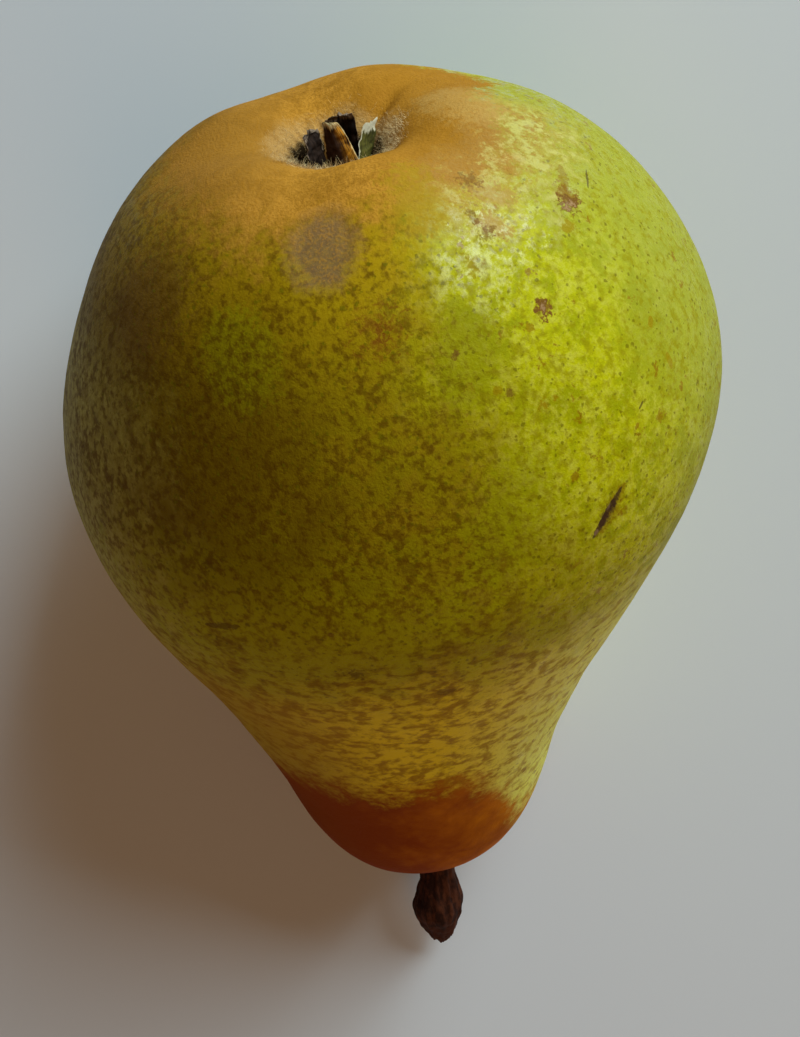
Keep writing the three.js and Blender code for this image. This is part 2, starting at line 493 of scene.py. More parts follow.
@dataclass(frozen=True)
class Mark:
    """A blemish on the skin, round or drawn out between two points.

    Args:
        start: One end of its middle line, in the growing frame.
        end: The other end, or None for a round mark.
        radius: Half its width, in millimetres.
        colour: Its colour.
        strength: How strongly it covers the skin.
        dent: How far it is sunk, in millimetres.
        ragged: How far its border wanders, as a share of its radius.
        soft: How wide its border is, as a share of its radius.
    """

    start: Point
    end: Point | None
    radius: float
    colour: Colour
    strength: float = 0.7
    dent: float = 0.0
    ragged: float = 2.0
    soft: float = 0.7

    def core(self) -> tuple[Point, float, float]:
        """The far end, half the length of the middle line, and half the length of the mark."""
        end = self.end or self.start
        half = math.dist(self.start, end) / 2
        return end, half, math.hypot(half, self.radius)

    def reach(self, points: np.ndarray) -> np.ndarray:
        """How far out points lie: 0 on the middle line and 1 on the border."""
        end, half, longest = self.core()
        ends = sum(np.linalg.norm(points - np.array(point), axis=-1) for point in (self.start, end))
        return (ends / 2 - half) / (longest - half)

    def shown(self, board: Board, here: Value, grain: Value) -> Value:
        """How strongly the mark shows at the shaded point.

        Args:
            board: The material's board.
            here: The shaded point in the growing frame.
            grain: The mottling that makes its border wander.

        Returns:
            A number from 0 to the mark's strength.
        """
        end, half, longest = self.core()
        ends = board.away_from(here, self.start) + board.away_from(here, end)
        reach = (ends * 0.5 - half) / (longest - half) + (grain - 0.5) * (GRAIN_SWING * self.ragged)
        return board.eased(reach, 1.0 + self.soft / 2, 1.0 - self.soft / 2) * self.strength


@dataclass
class Skin:
    """The fruit's outer form.

    The half outline runs from the eye's mouth over the rim, the belly and the neck to the
    stalk's mouth, as shares of length along the core and of radius away from it.
    """

    length: float = 95.2
    radius: float = 35.0
    outline: tuple[tuple[float, float], ...] = (
        (0.0375, 0.115), (0.0135, 0.169), (0, 0.291), (0.0135, 0.476), (0.067, 0.695),
        (0.176, 0.893), (0.311, 0.984), (0.446, 0.908), (0.581, 0.737), (0.695, 0.6),
        (0.788, 0.507), (0.871, 0.441), (0.939, 0.36), (0.981, 0.246), (1, 0.131), (0.996, 0.078),
        (0.9915, 0.062),
    )
    neck_sway: float = 5.5
    sway_from: float = 0.2
    oval: float = 0.012
    oval_turn: float = 40.0
    shoulder: float = 0.046
    shoulder_turn: float = -15.0
    shoulder_bell: Span = (0.12, 0.17)
    belly_rises: Span = (0.05, 0.3)
    belly_falls: Span = (0.55, 0.85)
    eye_form_fades: Span = (0.1, 0.3)
    lobe_height: float = 0.5
    lobe_bell: Span = (0.38, 0.2)
    sepal_turn: float = 3.0
    crease_depth: float = 1.1
    crease_turn: float = -46.0
    crease_bell: Span = (7.0, 3.6)
    crease_half_width: float = 1.2
    cup_depth: float = 5.2
    cup_floor: float = 3.6
    socket_depth: float = 5.2
    socket_floor: float = 2.15

    def half_outline(self, shares: np.ndarray) -> np.ndarray:
        """Distances along the core and away from it, for shares of the way over the skin."""
        return through(np.array(self.outline) * (self.length, self.radius), shares)

    def core_sway(self, along: np.ndarray) -> np.ndarray:
        """Sideways place of the core at a distance along it."""
        return -self.neck_sway * smooth_step(along / self.length, self.sway_from, 1)

    def crease(self, away: np.ndarray, turns: np.ndarray) -> np.ndarray:
        """How far the crease that runs out of the eye sinks the skin."""
        line = away * turned_from(turns, self.crease_turn)
        return self.crease_depth * bell(away, *self.crease_bell) * bell(line, 0, self.crease_half_width)

    def surface(self, stations: np.ndarray, turns: np.ndarray) -> np.ndarray:
        """Points of the skin.

        Args:
            stations: Distance along the core and away from it, one pair a row.
            turns: Angles round the core from sideways towards up, in radians.

        Returns:
            Points with station, turn and coordinate axes.
        """
        along = stations[:, :1]
        share = along / self.length
        toward = np.cos(turned_from(turns, self.shoulder_turn))
        fuller = self.shoulder * bell(share, *self.shoulder_bell) * toward
        belly = smooth_step(share, *self.belly_rises) * (1 - smooth_step(share, *self.belly_falls))
        oval = self.oval * belly * np.cos(2 * turned_from(turns, self.oval_turn))
        away = stations[:, 1:] * (1 + fuller + oval)
        near_eye = 1 - smooth_step(share, *self.eye_form_fades)
        lobes = self.lobe_height * bell(away / self.radius, *self.lobe_bell)
        raised = lobes * np.cos(SEPALS * turned_from(turns, self.sepal_turn)) - self.crease(away, turns)
        across = away * np.cos(turns) + self.core_sway(along)
        return np.stack([along - raised * near_eye, across, away * np.sin(turns)], axis=-1)


CORK = (0.17, 0.07, 0.012)
DARK = (0.09, 0.055, 0.012)
SCAR = (0.06, 0.028, 0.015)
SCAR_EDGE = (0.24, 0.12, 0.004)
SCAR_GRAIN = (0.36, 0.22, 0.12)
CRACK = (0.5, 0.3, 0.15)
GOLD = (0.5, 0.36, 0.01)
AMBER = (0.33, 0.22, 0.002)
RUSSET = (0.26, 0.12, 0.008)
RUST = (0.2, 0.07, 0.004)
TAN = (0.44, 0.24, 0.06)
# Pale colour of a painted sheen on top of the eye's cap.
PAINTED_CAP_SHEEN = (0.56, 0.34, 0.09)
BRONZE = (0.4, 0.24, 0.008)
DEEP_LIME = (0.3, 0.3, 0.002)
MOSS = (0.27, 0.235, 0.002)
UMBER = (0.155, 0.075, 0.009)
OLIVE_BROWN = (0.12, 0.06, 0.002)

TINTS = (
    Mark((21.5, 25.0, 22.0), (15.0, 24.5, 19.5), 4.5, DEEP_LIME, 0.5, 0.0, 1.5, 1.2),
    Mark((9.3, 8.8, 25.2), (14.5, 6.5, 29.0), 3.2, DEEP_LIME, 0.5, 0.0, 1.5, 1.2),
    Mark((21.0, 11.0, 30.0), (30.0, 6.0, 33.5), 4.0, DEEP_LIME, 0.4, 0.0, 1.5, 1.2),
    Mark((7.5, -12.8, 21.0), (11.5, -11.2, 25.0), 3.6, MOSS, 0.65, 0.0, 1.5, 1.2),
    Mark((1.5, 17.5, 1.5), (4.5, 22.0, 5.0), 5.0, GOLD, 0.55, 0.0, 3.0, 1.6),
    Mark((5.5, -18.0, 12.0), (9.5, -21.0, 15.0), 5.0, UMBER, 0.75, 0.0, 1.5, 1.6),
)

MARKS = (
    # Painted sheen: a pale patch on top of the eye's cap stands for grazing reflection.
    Mark((-0.6, 10.5, -3.5), (0.5, 14.5, 4.0), 3.2, PAINTED_CAP_SHEEN, 0.5, 0.0, 2.0, 2.2),
    Mark((0.8, 5.5, 12.0), (3.4, 6.5, 18.5), 2.6, BRONZE, 0.7, 0.0, 2.5, 2.2),
    Mark((2.2, 11.2, 14.6), (3.5, 14.3, 15.4), 1.3, TAN, 0.65, 0.0, 4.0, 1.8),
    Mark((3.6, 11.2, 17.8), (5.0, 13.4, 18.8), 1.0, TAN, 0.7, 0.0, 4.0, 1.8),
    Mark((1.8, 11.3, 13.7), None, 0.7, CORK, 0.6, 0.05, 4.0, 1.6),
    Mark((2.8, 10.4, 17.1), (3.7, 10.9, 18.3), 0.45, CORK, 0.6, 0.05, 3.5, 1.4),
    Mark((4.4, 11.5, 19.2), None, 0.6, CORK, 0.65, 0.05, 4.0, 1.4),
    Mark((4.1, 19.9, 9.7), (5.2, 19.8, 12.8), 0.5, RUSSET, 0.5, 0.0, 2.6, 1.2),
    Mark((6.7, 18.5, 17.0), (7.0, 19.5, 16.5), 0.6, AMBER, 0.8, 0.0, 2.6, 1.2),
    Mark((5.8, 19.7, 14.2), (5.0, 19.9, 13.0), 1.15, RUSSET, 0.8, 0.12, 1.6, 0.8),
    Mark((5.8, 19.7, 14.2), None, 0.95, CORK, 0.85, -0.12, 2.4, 0.8),
    Mark((5.9, 19.5, 14.4), None, 0.36, CRACK, 0.55, 0.0, 5.0, 1.2),
    Mark((10.5, 15.0, 23.8), None, 0.8, RUSSET, 0.8, 0.1, 1.6, 0.5),
    Mark((10.5, 15.0, 23.8), None, 0.65, CORK, 0.85, -0.1, 2.4, 0.8),
    Mark((10.5, 15.0, 23.8), None, 0.22, CRACK, 0.5, 0.0, 5.0, 1.2),
    Mark((9.7, 14.6, 23.4), None, 0.24, CORK, 0.8, 0.0, 1.2, 0.6),
    Mark((5.4, 22.5, 8.6), (6.1, 22.0, 11.4), 0.14, DARK, 0.75, 0.05, 1.4, 1.0),
    Mark((21.2, 22.6, 25.1), (21.6, 22.0, 25.7), 0.14, DARK, 0.75, 0.05, 1.4, 1.0),
    Mark((30.9, 16.1, 30.8), (27.2, 19.5, 28.8), 0.8, SCAR_EDGE, 0.6, 0.0, 3.0, 2.0),
    Mark((31.0, 15.6, 30.9), (27.3, 19.2, 29.0), 0.34, SCAR, 0.85, 0.16, 2.4, 2.0),
    Mark((30.1, 16.5, 30.4), (28.3, 18.2, 29.6), 0.56, SCAR, 0.85, 0.1, 2.4, 2.0),
    Mark((30.7, 15.9, 30.7), (30.4, 16.2, 30.5), 0.18, SCAR_GRAIN, 0.5, 0.0, 2.4, 1.6),
    Mark((29.0, 17.4, 29.9), (28.4, 17.9, 29.6), 0.16, SCAR_GRAIN, 0.5, 0.0, 2.4, 1.6),
    Mark((5.8, 9.8, 21.8), None, 0.8, RUSSET, 0.5, 0.0, 3.0, 1.2),
    Mark((8.2, 0.7, 25.8), None, 1.5, RUST, 0.6, 0.03, 4.0, 1.8),
    Mark((8.4, 0.9, 25.9), None, 0.6, RUST, 0.8, 0.05, 3.0, 1.4),
    Mark((11.1, 6.5, 27.4), None, 0.35, CORK, 0.75, 0.04, 1.6, 0.8),
    Mark((15.1, 10.5, 28.8), None, 0.35, CORK, 0.65, 0.04, 1.6, 0.8),
    Mark((14.6, 9.5, 28.8), None, 0.4, AMBER, 0.8, 0.0, 1.6, 0.8),
    Mark((17.0, 13.2, 28.8), None, 0.42, AMBER, 0.9, 0.0, 1.6, 0.8),
    Mark((11.2, 13.4, 25.2), None, 0.36, AMBER, 0.9, 0.0, 1.6, 0.8),
    Mark((16.8, 14.4, 28.3), None, 0.3, AMBER, 0.9, 0.0, 1.6, 0.8),
    Mark((16.1, 25.0, 19.7), (16.5, 24.8, 20.4), 0.35, AMBER, 0.8, 0.0, 1.6, 0.8),
    Mark((19.4, 26.0, 20.8), (20.8, 26.2, 21.3), 0.35, AMBER, 0.7, 0.0, 1.6, 0.8),
    Mark((40.7, -8.4, 31.3), None, 0.75, OLIVE_BROWN, 0.7, 0.05, 2.4, 1.0),
    Mark((45.9, -0.9, 30.3), (46.0, 0.3, 30.2), 0.7, OLIVE_BROWN, 0.6, 0.0, 2.4, 1.0),
    Mark((34.4, -9.5, 32.5), None, 0.35, CORK, 0.6, 0.03, 1.6, 0.8),
    Mark((27.4, -19.1, 27.6), None, 0.6, OLIVE_BROWN, 0.7, 0.0, 2.4, 1.0),
    Mark((35.2, -21.4, 26.1), (34.4, -17.9, 28.7), 0.4, OLIVE_BROWN, 0.7, 0.0, 2.4, 1.0),
    Mark((27.8, -1.2, 34.1), None, 0.6, OLIVE_BROWN, 0.5, 0.0, 2.4, 1.0),
)


@dataclass
class Fruit:
    """The whole fruit: its skin with fine relief, the cup of the eye and the stalk's socket."""

    skin: Skin
    lean: float = 21.8
    flat_depth: float = 0.45
    rows: int = 250
    wall_rows: int = 10
    sides: int = 320
    eased_rows: int = 9
    slow_bumps: Relief = Relief(0.22, 17.0, 2, 3.1)
    small_bumps: Relief = Relief(0.035, 3.2, 2, 9.7)
    bruise: Mark = Mark((1.2, -2.5, 16.4), (4.1, -3.3, 21.2), 2.9, (0.205, 0.118, 0.05), 0.85, 0.14, 1.0, 2.2)
    lip_end: float = 8.0
    bruise_wall: Span = (0.6, 1.2)
    dent_reach: float = 0.8
    border_bell: Span = (1.7, 0.7)
    border_share: float = 0.35
    fold_depth: float = 0.09
    fold_bell: Span = (4.4, 1.6)
    folds: int = 23
    fine_folds: int = 41
    fine_share: float = 0.6
    notch_turn: float = 58.0
    notch_depth: float = 1.1
    notch_bell: Span = (5.4, 2.2)
    notch_half_turn: float = 0.6
    rings: np.ndarray = field(init=False)
    outward: np.ndarray = field(init=False)
    place: RestingPlace = field(init=False)

    def __post_init__(self) -> None:
        """Works out the finished skin and where it lies."""
        bare = self.bare_rings()
        around = np.roll(bare, -1, axis=1) - np.roll(bare, 1, axis=1)
        self.outward = unit(np.cross(around, np.gradient(bare, axis=0)))
        self.rings = bare + self.outward * self.relief(bare)[..., None]
        leaned = RestingPlace(self.lean).set_down(self.rings.reshape(-1, 3))
        low, high = (np.array(corner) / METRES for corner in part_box("fruit"))
        middle = (leaned.min(axis=0) + leaned.max(axis=0)) / 2
        across = (low + high) / 2 - middle
        self.place = RestingPlace(self.lean, (across[0], across[1], -leaned[:, 2].min() - self.flat_depth))

    def bare_rings(self) -> np.ndarray:
        """The smooth form, from the cup's floor over the skin to the socket's floor."""
        outline = self.skin.half_outline(np.linspace(0, 1, self.rows))
        steps = np.linspace(1, 0, self.wall_rows, endpoint=False)[:, None]
        mouth, end = outline[0], outline[-1]
        cup = mouth + steps * (self.skin.cup_depth, self.skin.cup_floor - mouth[1])
        socket = end + steps[::-1] * (-self.skin.socket_depth, self.skin.socket_floor - end[1])
        return self.skin.surface(np.concatenate([cup, outline, socket]), full_turn(self.sides))

    def relief(self, rings: np.ndarray) -> np.ndarray:
        """Height of the skin's bumps, dents and lip folds, eased out towards the cup and the socket."""
        skin_rows = np.zeros(len(rings))
        skin_rows[self.wall_rows : -self.wall_rows] = 1
        ease = np.convolve(skin_rows, np.ones(self.eased_rows) / self.eased_rows, mode="same")[:, None]
        height = self.slow_bumps.at(rings) + self.small_bumps.at(rings) + self.lip(rings) - self.dents(rings)
        return height * ease

    def lip(self, rings: np.ndarray) -> np.ndarray:
        """Fine folds that run into the eye, less the low place in its lip, where it opens widest."""
        turns = full_turn(self.sides)
        away = np.hypot(rings[..., 1], rings[..., 2])
        eye_end = rings[..., 0] < self.lip_end
        fan = np.sin(self.folds * turns + 1.5 * np.sin(3 * turns))
        fan += self.fine_share * np.sin(self.fine_folds * turns + 2)
        folds = self.fold_depth * bell(away, *self.fold_bell) * fan
        beside = bell(turned_from(turns, self.notch_turn), 0, self.notch_half_turn)
        return (folds - self.notch_depth * bell(away, *self.notch_bell) * beside) * eye_end

    def dents(self, rings: np.ndarray) -> np.ndarray:
        """Depth of the bruise and of the marks that are sunk, each with a low raised border."""
        sunk = self.bruise.dent * (1 - smooth_step(self.bruise.reach(rings), *self.bruise_wall))
        for mark in MARKS:
            if mark.dent:
                reach = mark.reach(rings)
                border = self.border_share * bell(reach, *self.border_bell)
                sunk += mark.dent * (bell(reach, 0, self.dent_reach) - border)
        return sunk

    def build(self) -> bpy.types.Object:
        """Makes the fruit and dresses it."""
        shell = Shell()
        shell.add_tube(self.rings)
        piece = shell.to_object("pear_skin", self.place)
        dress(piece, SkinFinish().material(self), "skin", "fruit")
        return piece


@dataclass(frozen=True)
class Zones:
    """Where one zone of the skin gives way to the next.

    Spans of side go from 1 on the right to -1 on the left. The others are in millimetres along
    the core from the eye.
    """

    middle: Span = (0.42, 0.02)
    left: Span = (0.0, -0.5)
    side_drifts: Span = (25.0, 42.0)
    side_drift: float = 0.15
    low: Span = (20.0, 36.0)
    banded: Span = (28.0, 46.0)
    necking: Span = (38.0, 54.0)
    eye_end: Span = (12.0, 10.0)


class SkinField:
    """The places, the mottling and the zones that all layers of the skin read."""

    def __init__(self, board: Board, fruit: Fruit, zones: Zones = Zones()) -> None:
        """Reads the shaded point of the fruit and lays out the shared patterns.

        Args:
            board: The material's board.
            fruit: The fruit, for its form and its place.
            zones: Where the zones of the skin lie.
        """
        self.board = board
        self.here = board.growing(fruit.place)
        self.along, across, up = board.parts(self.here)
        skin = fruit.skin
        bent = board.eased(self.along, skin.sway_from * skin.length, skin.length) * skin.neck_sway
        centred = across + bent
        self.away = (centred * centred + up * up) ** 0.5
        self.rightward = centred / self.away.larger(1.0)
        self.upward = up / self.away.larger(1.0)
        self.slow = board.grain(self.here, 21.0, 2.0)
        self.patches = board.grain(self.here, 5.5, 4.0, 0.6, 0.3)
        self.clouds = board.grain(self.here, 2.4, 3.0, 0.62, 0.4)
        self.mottle = board.grain(self.here, 1.35, 4.0, 0.7, 0.4)
        self.flecks = board.grain(self.here, 0.62, 3.0, 0.68, 0.3)
        self.fine = board.grain(self.here, 0.3, 2.0, 0.6)
        drift = board.eased(self.along, *zones.side_drifts) * zones.side_drift
        side = self.rightward + self.swing(slow=0.5, patches=0.5) - drift
        self.middle = board.eased(side, *zones.middle)
        self.left = board.eased(side, *zones.left)
        self.low = board.eased(self.along + self.swing(patches=12.0), *zones.low)
        self.banded = board.eased(self.along + self.swing(patches=14.0), *zones.banded)
        self.necking = board.eased(self.along + self.swing(patches=14.0), *zones.necking)
        self.eye_end = board.eased(self.along, *zones.eye_end)

    def blend(self, **shares: float) -> Value:
        """The sum of the named patterns, each taken by its share."""
        parts = [getattr(self, name) * share for name, share in shares.items()]
        return sum(parts[1:], parts[0])

    def swing(self, **widths: float) -> Value:
        """The sum of the named patterns, each centred on 0 and made as wide as given."""
        parts = [(getattr(self, name) - 0.5) * width for name, width in widths.items()]
        return sum(parts[1:], parts[0])


@dataclass(frozen=True)
class Ground:
    """The colour under the blotches: lime on the right, olive on the left, straw on the neck, and a painted
    sheen along both rims, mixed with a greyish bloom on the left.
    """

    deep: Colour = (0.34, 0.34, 0.002)
    lime: Colour = (0.5, 0.48, 0.003)
    pale: Colour = (0.6, 0.56, 0.06)
    olive_middle: Colour = (0.29, 0.22, 0.002)
    olive_left: Colour = (0.185, 0.115, 0.002)
    olive_low: Colour = (0.41, 0.4, 0.002)
    ochre: Colour = (0.3, 0.19, 0.003)
    amber: Colour = (0.45, 0.27, 0.003)
    # Greyish bloom that also stands for a painted sheen, the grazing reflection along the left rim.
    bloom_and_sheen: Colour = (0.5, 0.42, 0.07)
    # Painted sheen: a pale grey-green that stands for the grazing reflection along the right rim.
    rim_sheen: Colour = (0.35, 0.345, 0.035)
    straw: Colour = (0.85, 0.86, 0.14)
    tan: Colour = (0.86, 0.72, 0.004)
    tan_left: Colour = (0.45, 0.31, 0.004)
    lime_lumps: Span = (0.42, 0.53)
    pale_flecks: Span = (0.46, 0.6)
    pale_share: float = 0.6
    ochre_lumps: Span = (0.43, 0.57)
    ochre_share: float = 0.75
    amber_away: Span = (31.0, 19.0)
    amber_along: Span = (24.0, 8.0)
    amber_side: Span = (0.1, 0.5)
    amber_cut: float = 10.0
    bloom_and_sheen_side: Span = (-0.6, -0.98)
    bloom_and_sheen_along: Span = (8.0, 18.0)
    bloom_and_sheen_lumps: Span = (0.6, 1.15)
    bloom_and_sheen_share: float = 0.9
    flank_side: Span = (0.6, 0.95)
    rim_sheen_share: float = 0.8
    straw_side: Span = (0.0, 0.6)
    tan_left_side: Span = (-0.1, -0.7)
    neck_share: float = 0.95

    def colour(self, field: SkinField) -> Value:
        """The colour at the shaded point."""
        board = field.board
        lumps = board.eased(field.blend(patches=0.4, clouds=0.3, mottle=0.3), *self.lime_lumps)
        colour = board.mixed(lumps, self.deep, self.lime)
        light = board.eased(field.blend(clouds=0.25, mottle=0.4, flecks=0.35), *self.pale_flecks)
        colour = board.mixed(light * self.pale_share, colour, self.pale)
        colour = board.mixed(field.middle, colour, self.olive(field))
        cut = board.eased(field.rightward, *self.amber_side) * self.amber_cut
        warmed = board.eased(field.away + field.swing(patches=10.0) + cut, *self.amber_away)
        warmed = warmed * board.eased(field.along, *self.amber_along)
        colour = board.mixed(warmed * (0.8 - field.left * 0.4), colour, self.amber)
        for tint in TINTS:
            colour = board.mixed(tint.shown(board, field.here, field.flecks), colour, tint.colour)
        # Greyish bloom along the left rim, partly real and partly a painted sheen of grazing reflection.
        bloom_and_sheen_shown = board.eased(field.rightward + field.swing(clouds=0.8), *self.bloom_and_sheen_side)
        bloom_and_sheen_shown = bloom_and_sheen_shown * board.eased(field.along, *self.bloom_and_sheen_along)
        bloom_and_sheen_shown = bloom_and_sheen_shown * board.eased(field.mottle + field.clouds, *self.bloom_and_sheen_lumps)
        colour = board.mixed(bloom_and_sheen_shown * self.bloom_and_sheen_share, colour, self.bloom_and_sheen)
        # Painted sheen along the right rim.
        rim_sheen = board.eased(field.rightward, *self.flank_side) * self.rim_sheen_share
        colour = board.mixed(rim_sheen, colour, self.rim_sheen)
        neck = board.mixed(board.eased(field.rightward, *self.straw_side), self.tan, self.straw)
        neck = board.mixed(board.eased(field.rightward, *self.tan_left_side), neck, self.tan_left)
        return board.mixed(field.necking * self.neck_share, colour, neck)

    def olive(self, field: SkinField) -> Value:
        """The olive of the middle and the left, with clouds of ochre."""
        board = field.board
        olive = board.mixed(field.left, self.olive_middle, self.olive_left)
        olive = board.mixed(field.low * (1 - field.left * 0.05), olive, self.olive_low)
        browned = board.eased(field.blend(patches=0.4, clouds=0.35, mottle=0.25), *self.ochre_lumps)
        browned = browned * (1 - field.left) * (1 - field.low * 0.4) * self.ochre_share
        return board.mixed(browned, olive, self.ochre)


@dataclass(frozen=True)
class Blotches:
    """Soft brown blotches with crisper flecks, drawn out round the neck."""

    on_lime: Colour = (0.3, 0.25, 0.001)
    on_olive: Colour = (0.12, 0.056, 0.001)
    on_low: Colour = (0.17, 0.085, 0.001)
    on_neck: Colour = (0.3, 0.15, 0.001)
    on_flank: Colour = (0.45, 0.3, 0.02)
    size: float = 0.85
    neck_size: float = 1.05
    neck_stretch: Point = (0.9, 0.65, 0.65)
    flank_side: Span = (0.1, 0.8)
    soft: Span = (0.44, 0.67)
    soft_share: float = 0.7
    crisp: Span = (0.51, 0.7)
    crisp_share: float = 0.38

    def over(self, field: SkinField, ground: Value) -> tuple[Value, Value]:
        """Lays the blotches.

        Args:
            field: The shared patterns.
            ground: The colour under them.

        Returns:
            The new colour, and how strongly the blotches cover it.
        """
        board = field.board
        round_ones = board.grain(field.here, self.size, 3.0, 0.6, 0.2)
        stretched = board.scaled(field.here, self.neck_stretch)
        drawn_out = board.grain(stretched, self.neck_size, 3.0, 0.55, 0.3)
        pattern = round_ones + (drawn_out - round_ones) * field.banded
        density = field.swing(patches=0.3) + field.middle * 0.025 + field.necking * 0.01 - 0.015
        on_olive = board.mixed(field.low, self.on_olive, self.on_low)
        on_neck = board.mixed(board.eased(field.rightward, *self.flank_side), self.on_neck, self.on_flank)
        stain = board.mixed(field.necking, board.mixed(field.middle, self.on_lime, on_olive), on_neck)
        soft = board.eased(pattern + density, *self.soft) * self.soft_share
        flecked = field.flecks + (pattern - 0.5) * 0.5 + density
        crisp = board.eased(flecked, *self.crisp) * self.crisp_share
        colour = board.mixed(crisp, board.mixed(soft, ground, stain), stain)
        return colour, soft.larger(crisp)


@dataclass(frozen=True)
class Scatter:
    """Small ragged spots round scattered points.

    Args:
        colour: Their colour.
        spacing: Mean distance between two points, in millimetres.
        bare: The share of the points that stay without a spot.
        growth: How much larger the largest is than the smallest, as a share of the spacing.
        soft: How wide their border is, as a share of the spacing.
        strength: How strongly they cover the skin.
    """

    colour: Colour
    spacing: float
    bare: float
    growth: float
    soft: float
    strength: float

    def over(self, field: SkinField, ground: Value, ragged: Value, where: Value) -> Value:
        """Lays the spots.

        Args:
            field: The shared patterns.
            ground: The colour under them.
            ragged: How far their border wanders.
            where: How strongly they show, from 0 to 1.

        Returns:
            The new colour.
        """
        board = field.board
        near, chance = board.cells(field.here, self.spacing)
        size = board.eased(chance, self.bare, 1.0) * self.growth + ragged
        shown = board.eased(near, size + self.soft, size) * board.eased(chance, self.bare, self.bare + 0.1)
        return board.mixed(shown * self.strength * where, ground, self.colour)


@dataclass(frozen=True)
class EyeCap:
    """The russet cap round the eye, grained, and darker to both sides."""

    russet: Colour = (0.56, 0.255, 0.027)
    dark: Colour = (0.37, 0.16, 0.012)
    left: Colour = (0.3, 0.14, 0.02)
    outer: float = 21.5
    inner: float = 14.0
    along_ends: Span = (22.0, 14.0)
    crisp_side: Span = (0.3, 0.6)
    crisper: float = 2.2
    smaller_side: Span = (0.2, 0.5)
    low_rises: Span = (-0.45, -0.1)
    low_falls: Span = (0.5, 0.2)
    smaller: float = 3.5
    larger: float = 0.5
    lumps: Span = (0.42, 0.6)
    dark_side: Span = (0.1, 0.6)
    left_side: Span = (-0.1, -0.95)
    side_share: float = 0.7
    grain: Span = (0.46, 0.64)
    grain_share: float = 0.6

    def over(self, field: SkinField, ground: Value) -> tuple[Value, Value]:
        """Lays the cap.

        Args:
            field: The shared patterns.
            ground: The colour under it.

        Returns:
            The new colour, and how strongly the cap shows.
        """
        board = field.board
        low_side = board.eased(field.upward, *self.low_rises) * board.eased(field.upward, *self.low_falls)
        drawn_in = board.eased(field.rightward, *self.smaller_side) * (low_side * self.smaller - self.larger)
        rim = field.away + field.swing(patches=8.0, mottle=8.0, flecks=5.0) + drawn_in
        crisper = board.eased(field.rightward, *self.crisp_side) * self.crisper
        capped = board.eased(rim, self.outer - crisper, self.inner + crisper)
        capped = capped * board.eased(field.along, *self.along_ends)
        shade = board.eased(field.blend(mottle=0.4, clouds=0.3, patches=0.3), *self.lumps)
        cap = board.mixed(shade, self.russet, self.dark)
        cap = board.mixed(board.eased(field.rightward, *self.dark_side) * self.side_share, cap, self.dark)
        cap = board.mixed(board.eased(field.rightward, *self.left_side) * self.side_share, cap, self.left)
        cap = board.mixed(board.eased(field.fine, *self.grain) * self.grain_share, cap, self.dark)
        return board.mixed(capped, ground, cap), capped


@dataclass(frozen=True)
class BrokenBorder:
    """Pale patches, partly pale skin and partly a painted highlight, and grained tan beside the eye's cap, on
    its right.
    """

    # Pale skin colour, laid where the highlight falls, so partly a painted highlight.
    pale_and_highlight: Colour = (0.63, 0.53, 0.15)
    tan: Colour = (0.43, 0.22, 0.045)
    side: Span = (0.2, 0.55)
    up: Span = (-0.1, 0.2)
    inner: Span = (11.5, 16.0)
    outer: Span = (25.0, 19.0)
    inward: Span = (19.0, 14.0)
    inward_share: float = 0.06
    lumps: Span = (0.44, 0.56)
    pale_and_highlight_share: float = 0.65
    tan_grain: Span = (0.35, 0.6)

    def over(self, field: SkinField, ground: Value) -> tuple[Value, Value, Value]:
        """Breaks the skin into patches.

        Args:
            field: The shared patterns.
            ground: The colour under them.

        Returns:
            The new colour, and how strongly the tan and the pale patches with their painted highlight show.
        """
        board = field.board
        inner = board.eased(field.away + field.swing(mottle=10.0), *self.inner)
        outer = board.eased(field.away + field.swing(clouds=14.0, mottle=8.0), *self.outer)
        sector = board.eased(field.rightward, *self.side) * board.eased(field.upward, *self.up)
        zone = outer * inner * sector * field.eye_end
        lumps = field.blend(clouds=0.4, mottle=0.35, flecks=0.25)
        inward = board.eased(field.away, *self.inward) * self.inward_share
        patch = board.eased(lumps + inward, *self.lumps)
        # Pale patches, partly a painted highlight.
        pale_and_highlight = zone * (1 - patch) * self.pale_and_highlight_share
        tan = zone * patch * (board.eased(field.fine, *self.tan_grain) * 0.4 + 0.45)
        return board.mixed(tan, board.mixed(pale_and_highlight, ground, self.pale_and_highlight), self.tan), tan, pale_and_highlight


@dataclass(frozen=True)
class NeckCap:
    """The dark russet cap round the stalk, shorter and lighter on the right."""

    dark: Colour = (0.25, 0.05, 0.0003)
    light: Colour = (0.58, 0.195, 0.001)
    edge: Span = (64.5, 72.0)
    shorter_side: Span = (0.15, 0.85)
    shorter: float = 17.0
    lumps: Span = (0.22, 0.62)

    def over(self, field: SkinField, ground: Value) -> tuple[Value, Value]:
        """Lays the cap.

        Args:
            field: The shared patterns.
            ground: The colour under it.

        Returns:
            The new colour, and how strongly the cap shows.
        """
        board = field.board
        shorter = board.eased(field.rightward, *self.shorter_side) * self.shorter
        edge = field.along - shorter + field.swing(patches=14.0, mottle=8.0, flecks=5.0)
        capped = board.eased(edge, *self.edge)
        light = board.eased(field.blend(patches=0.5, clouds=0.2, rightward=0.25), *self.lumps)
        return board.mixed(capped, ground, board.mixed(light, self.dark, self.light)), capped


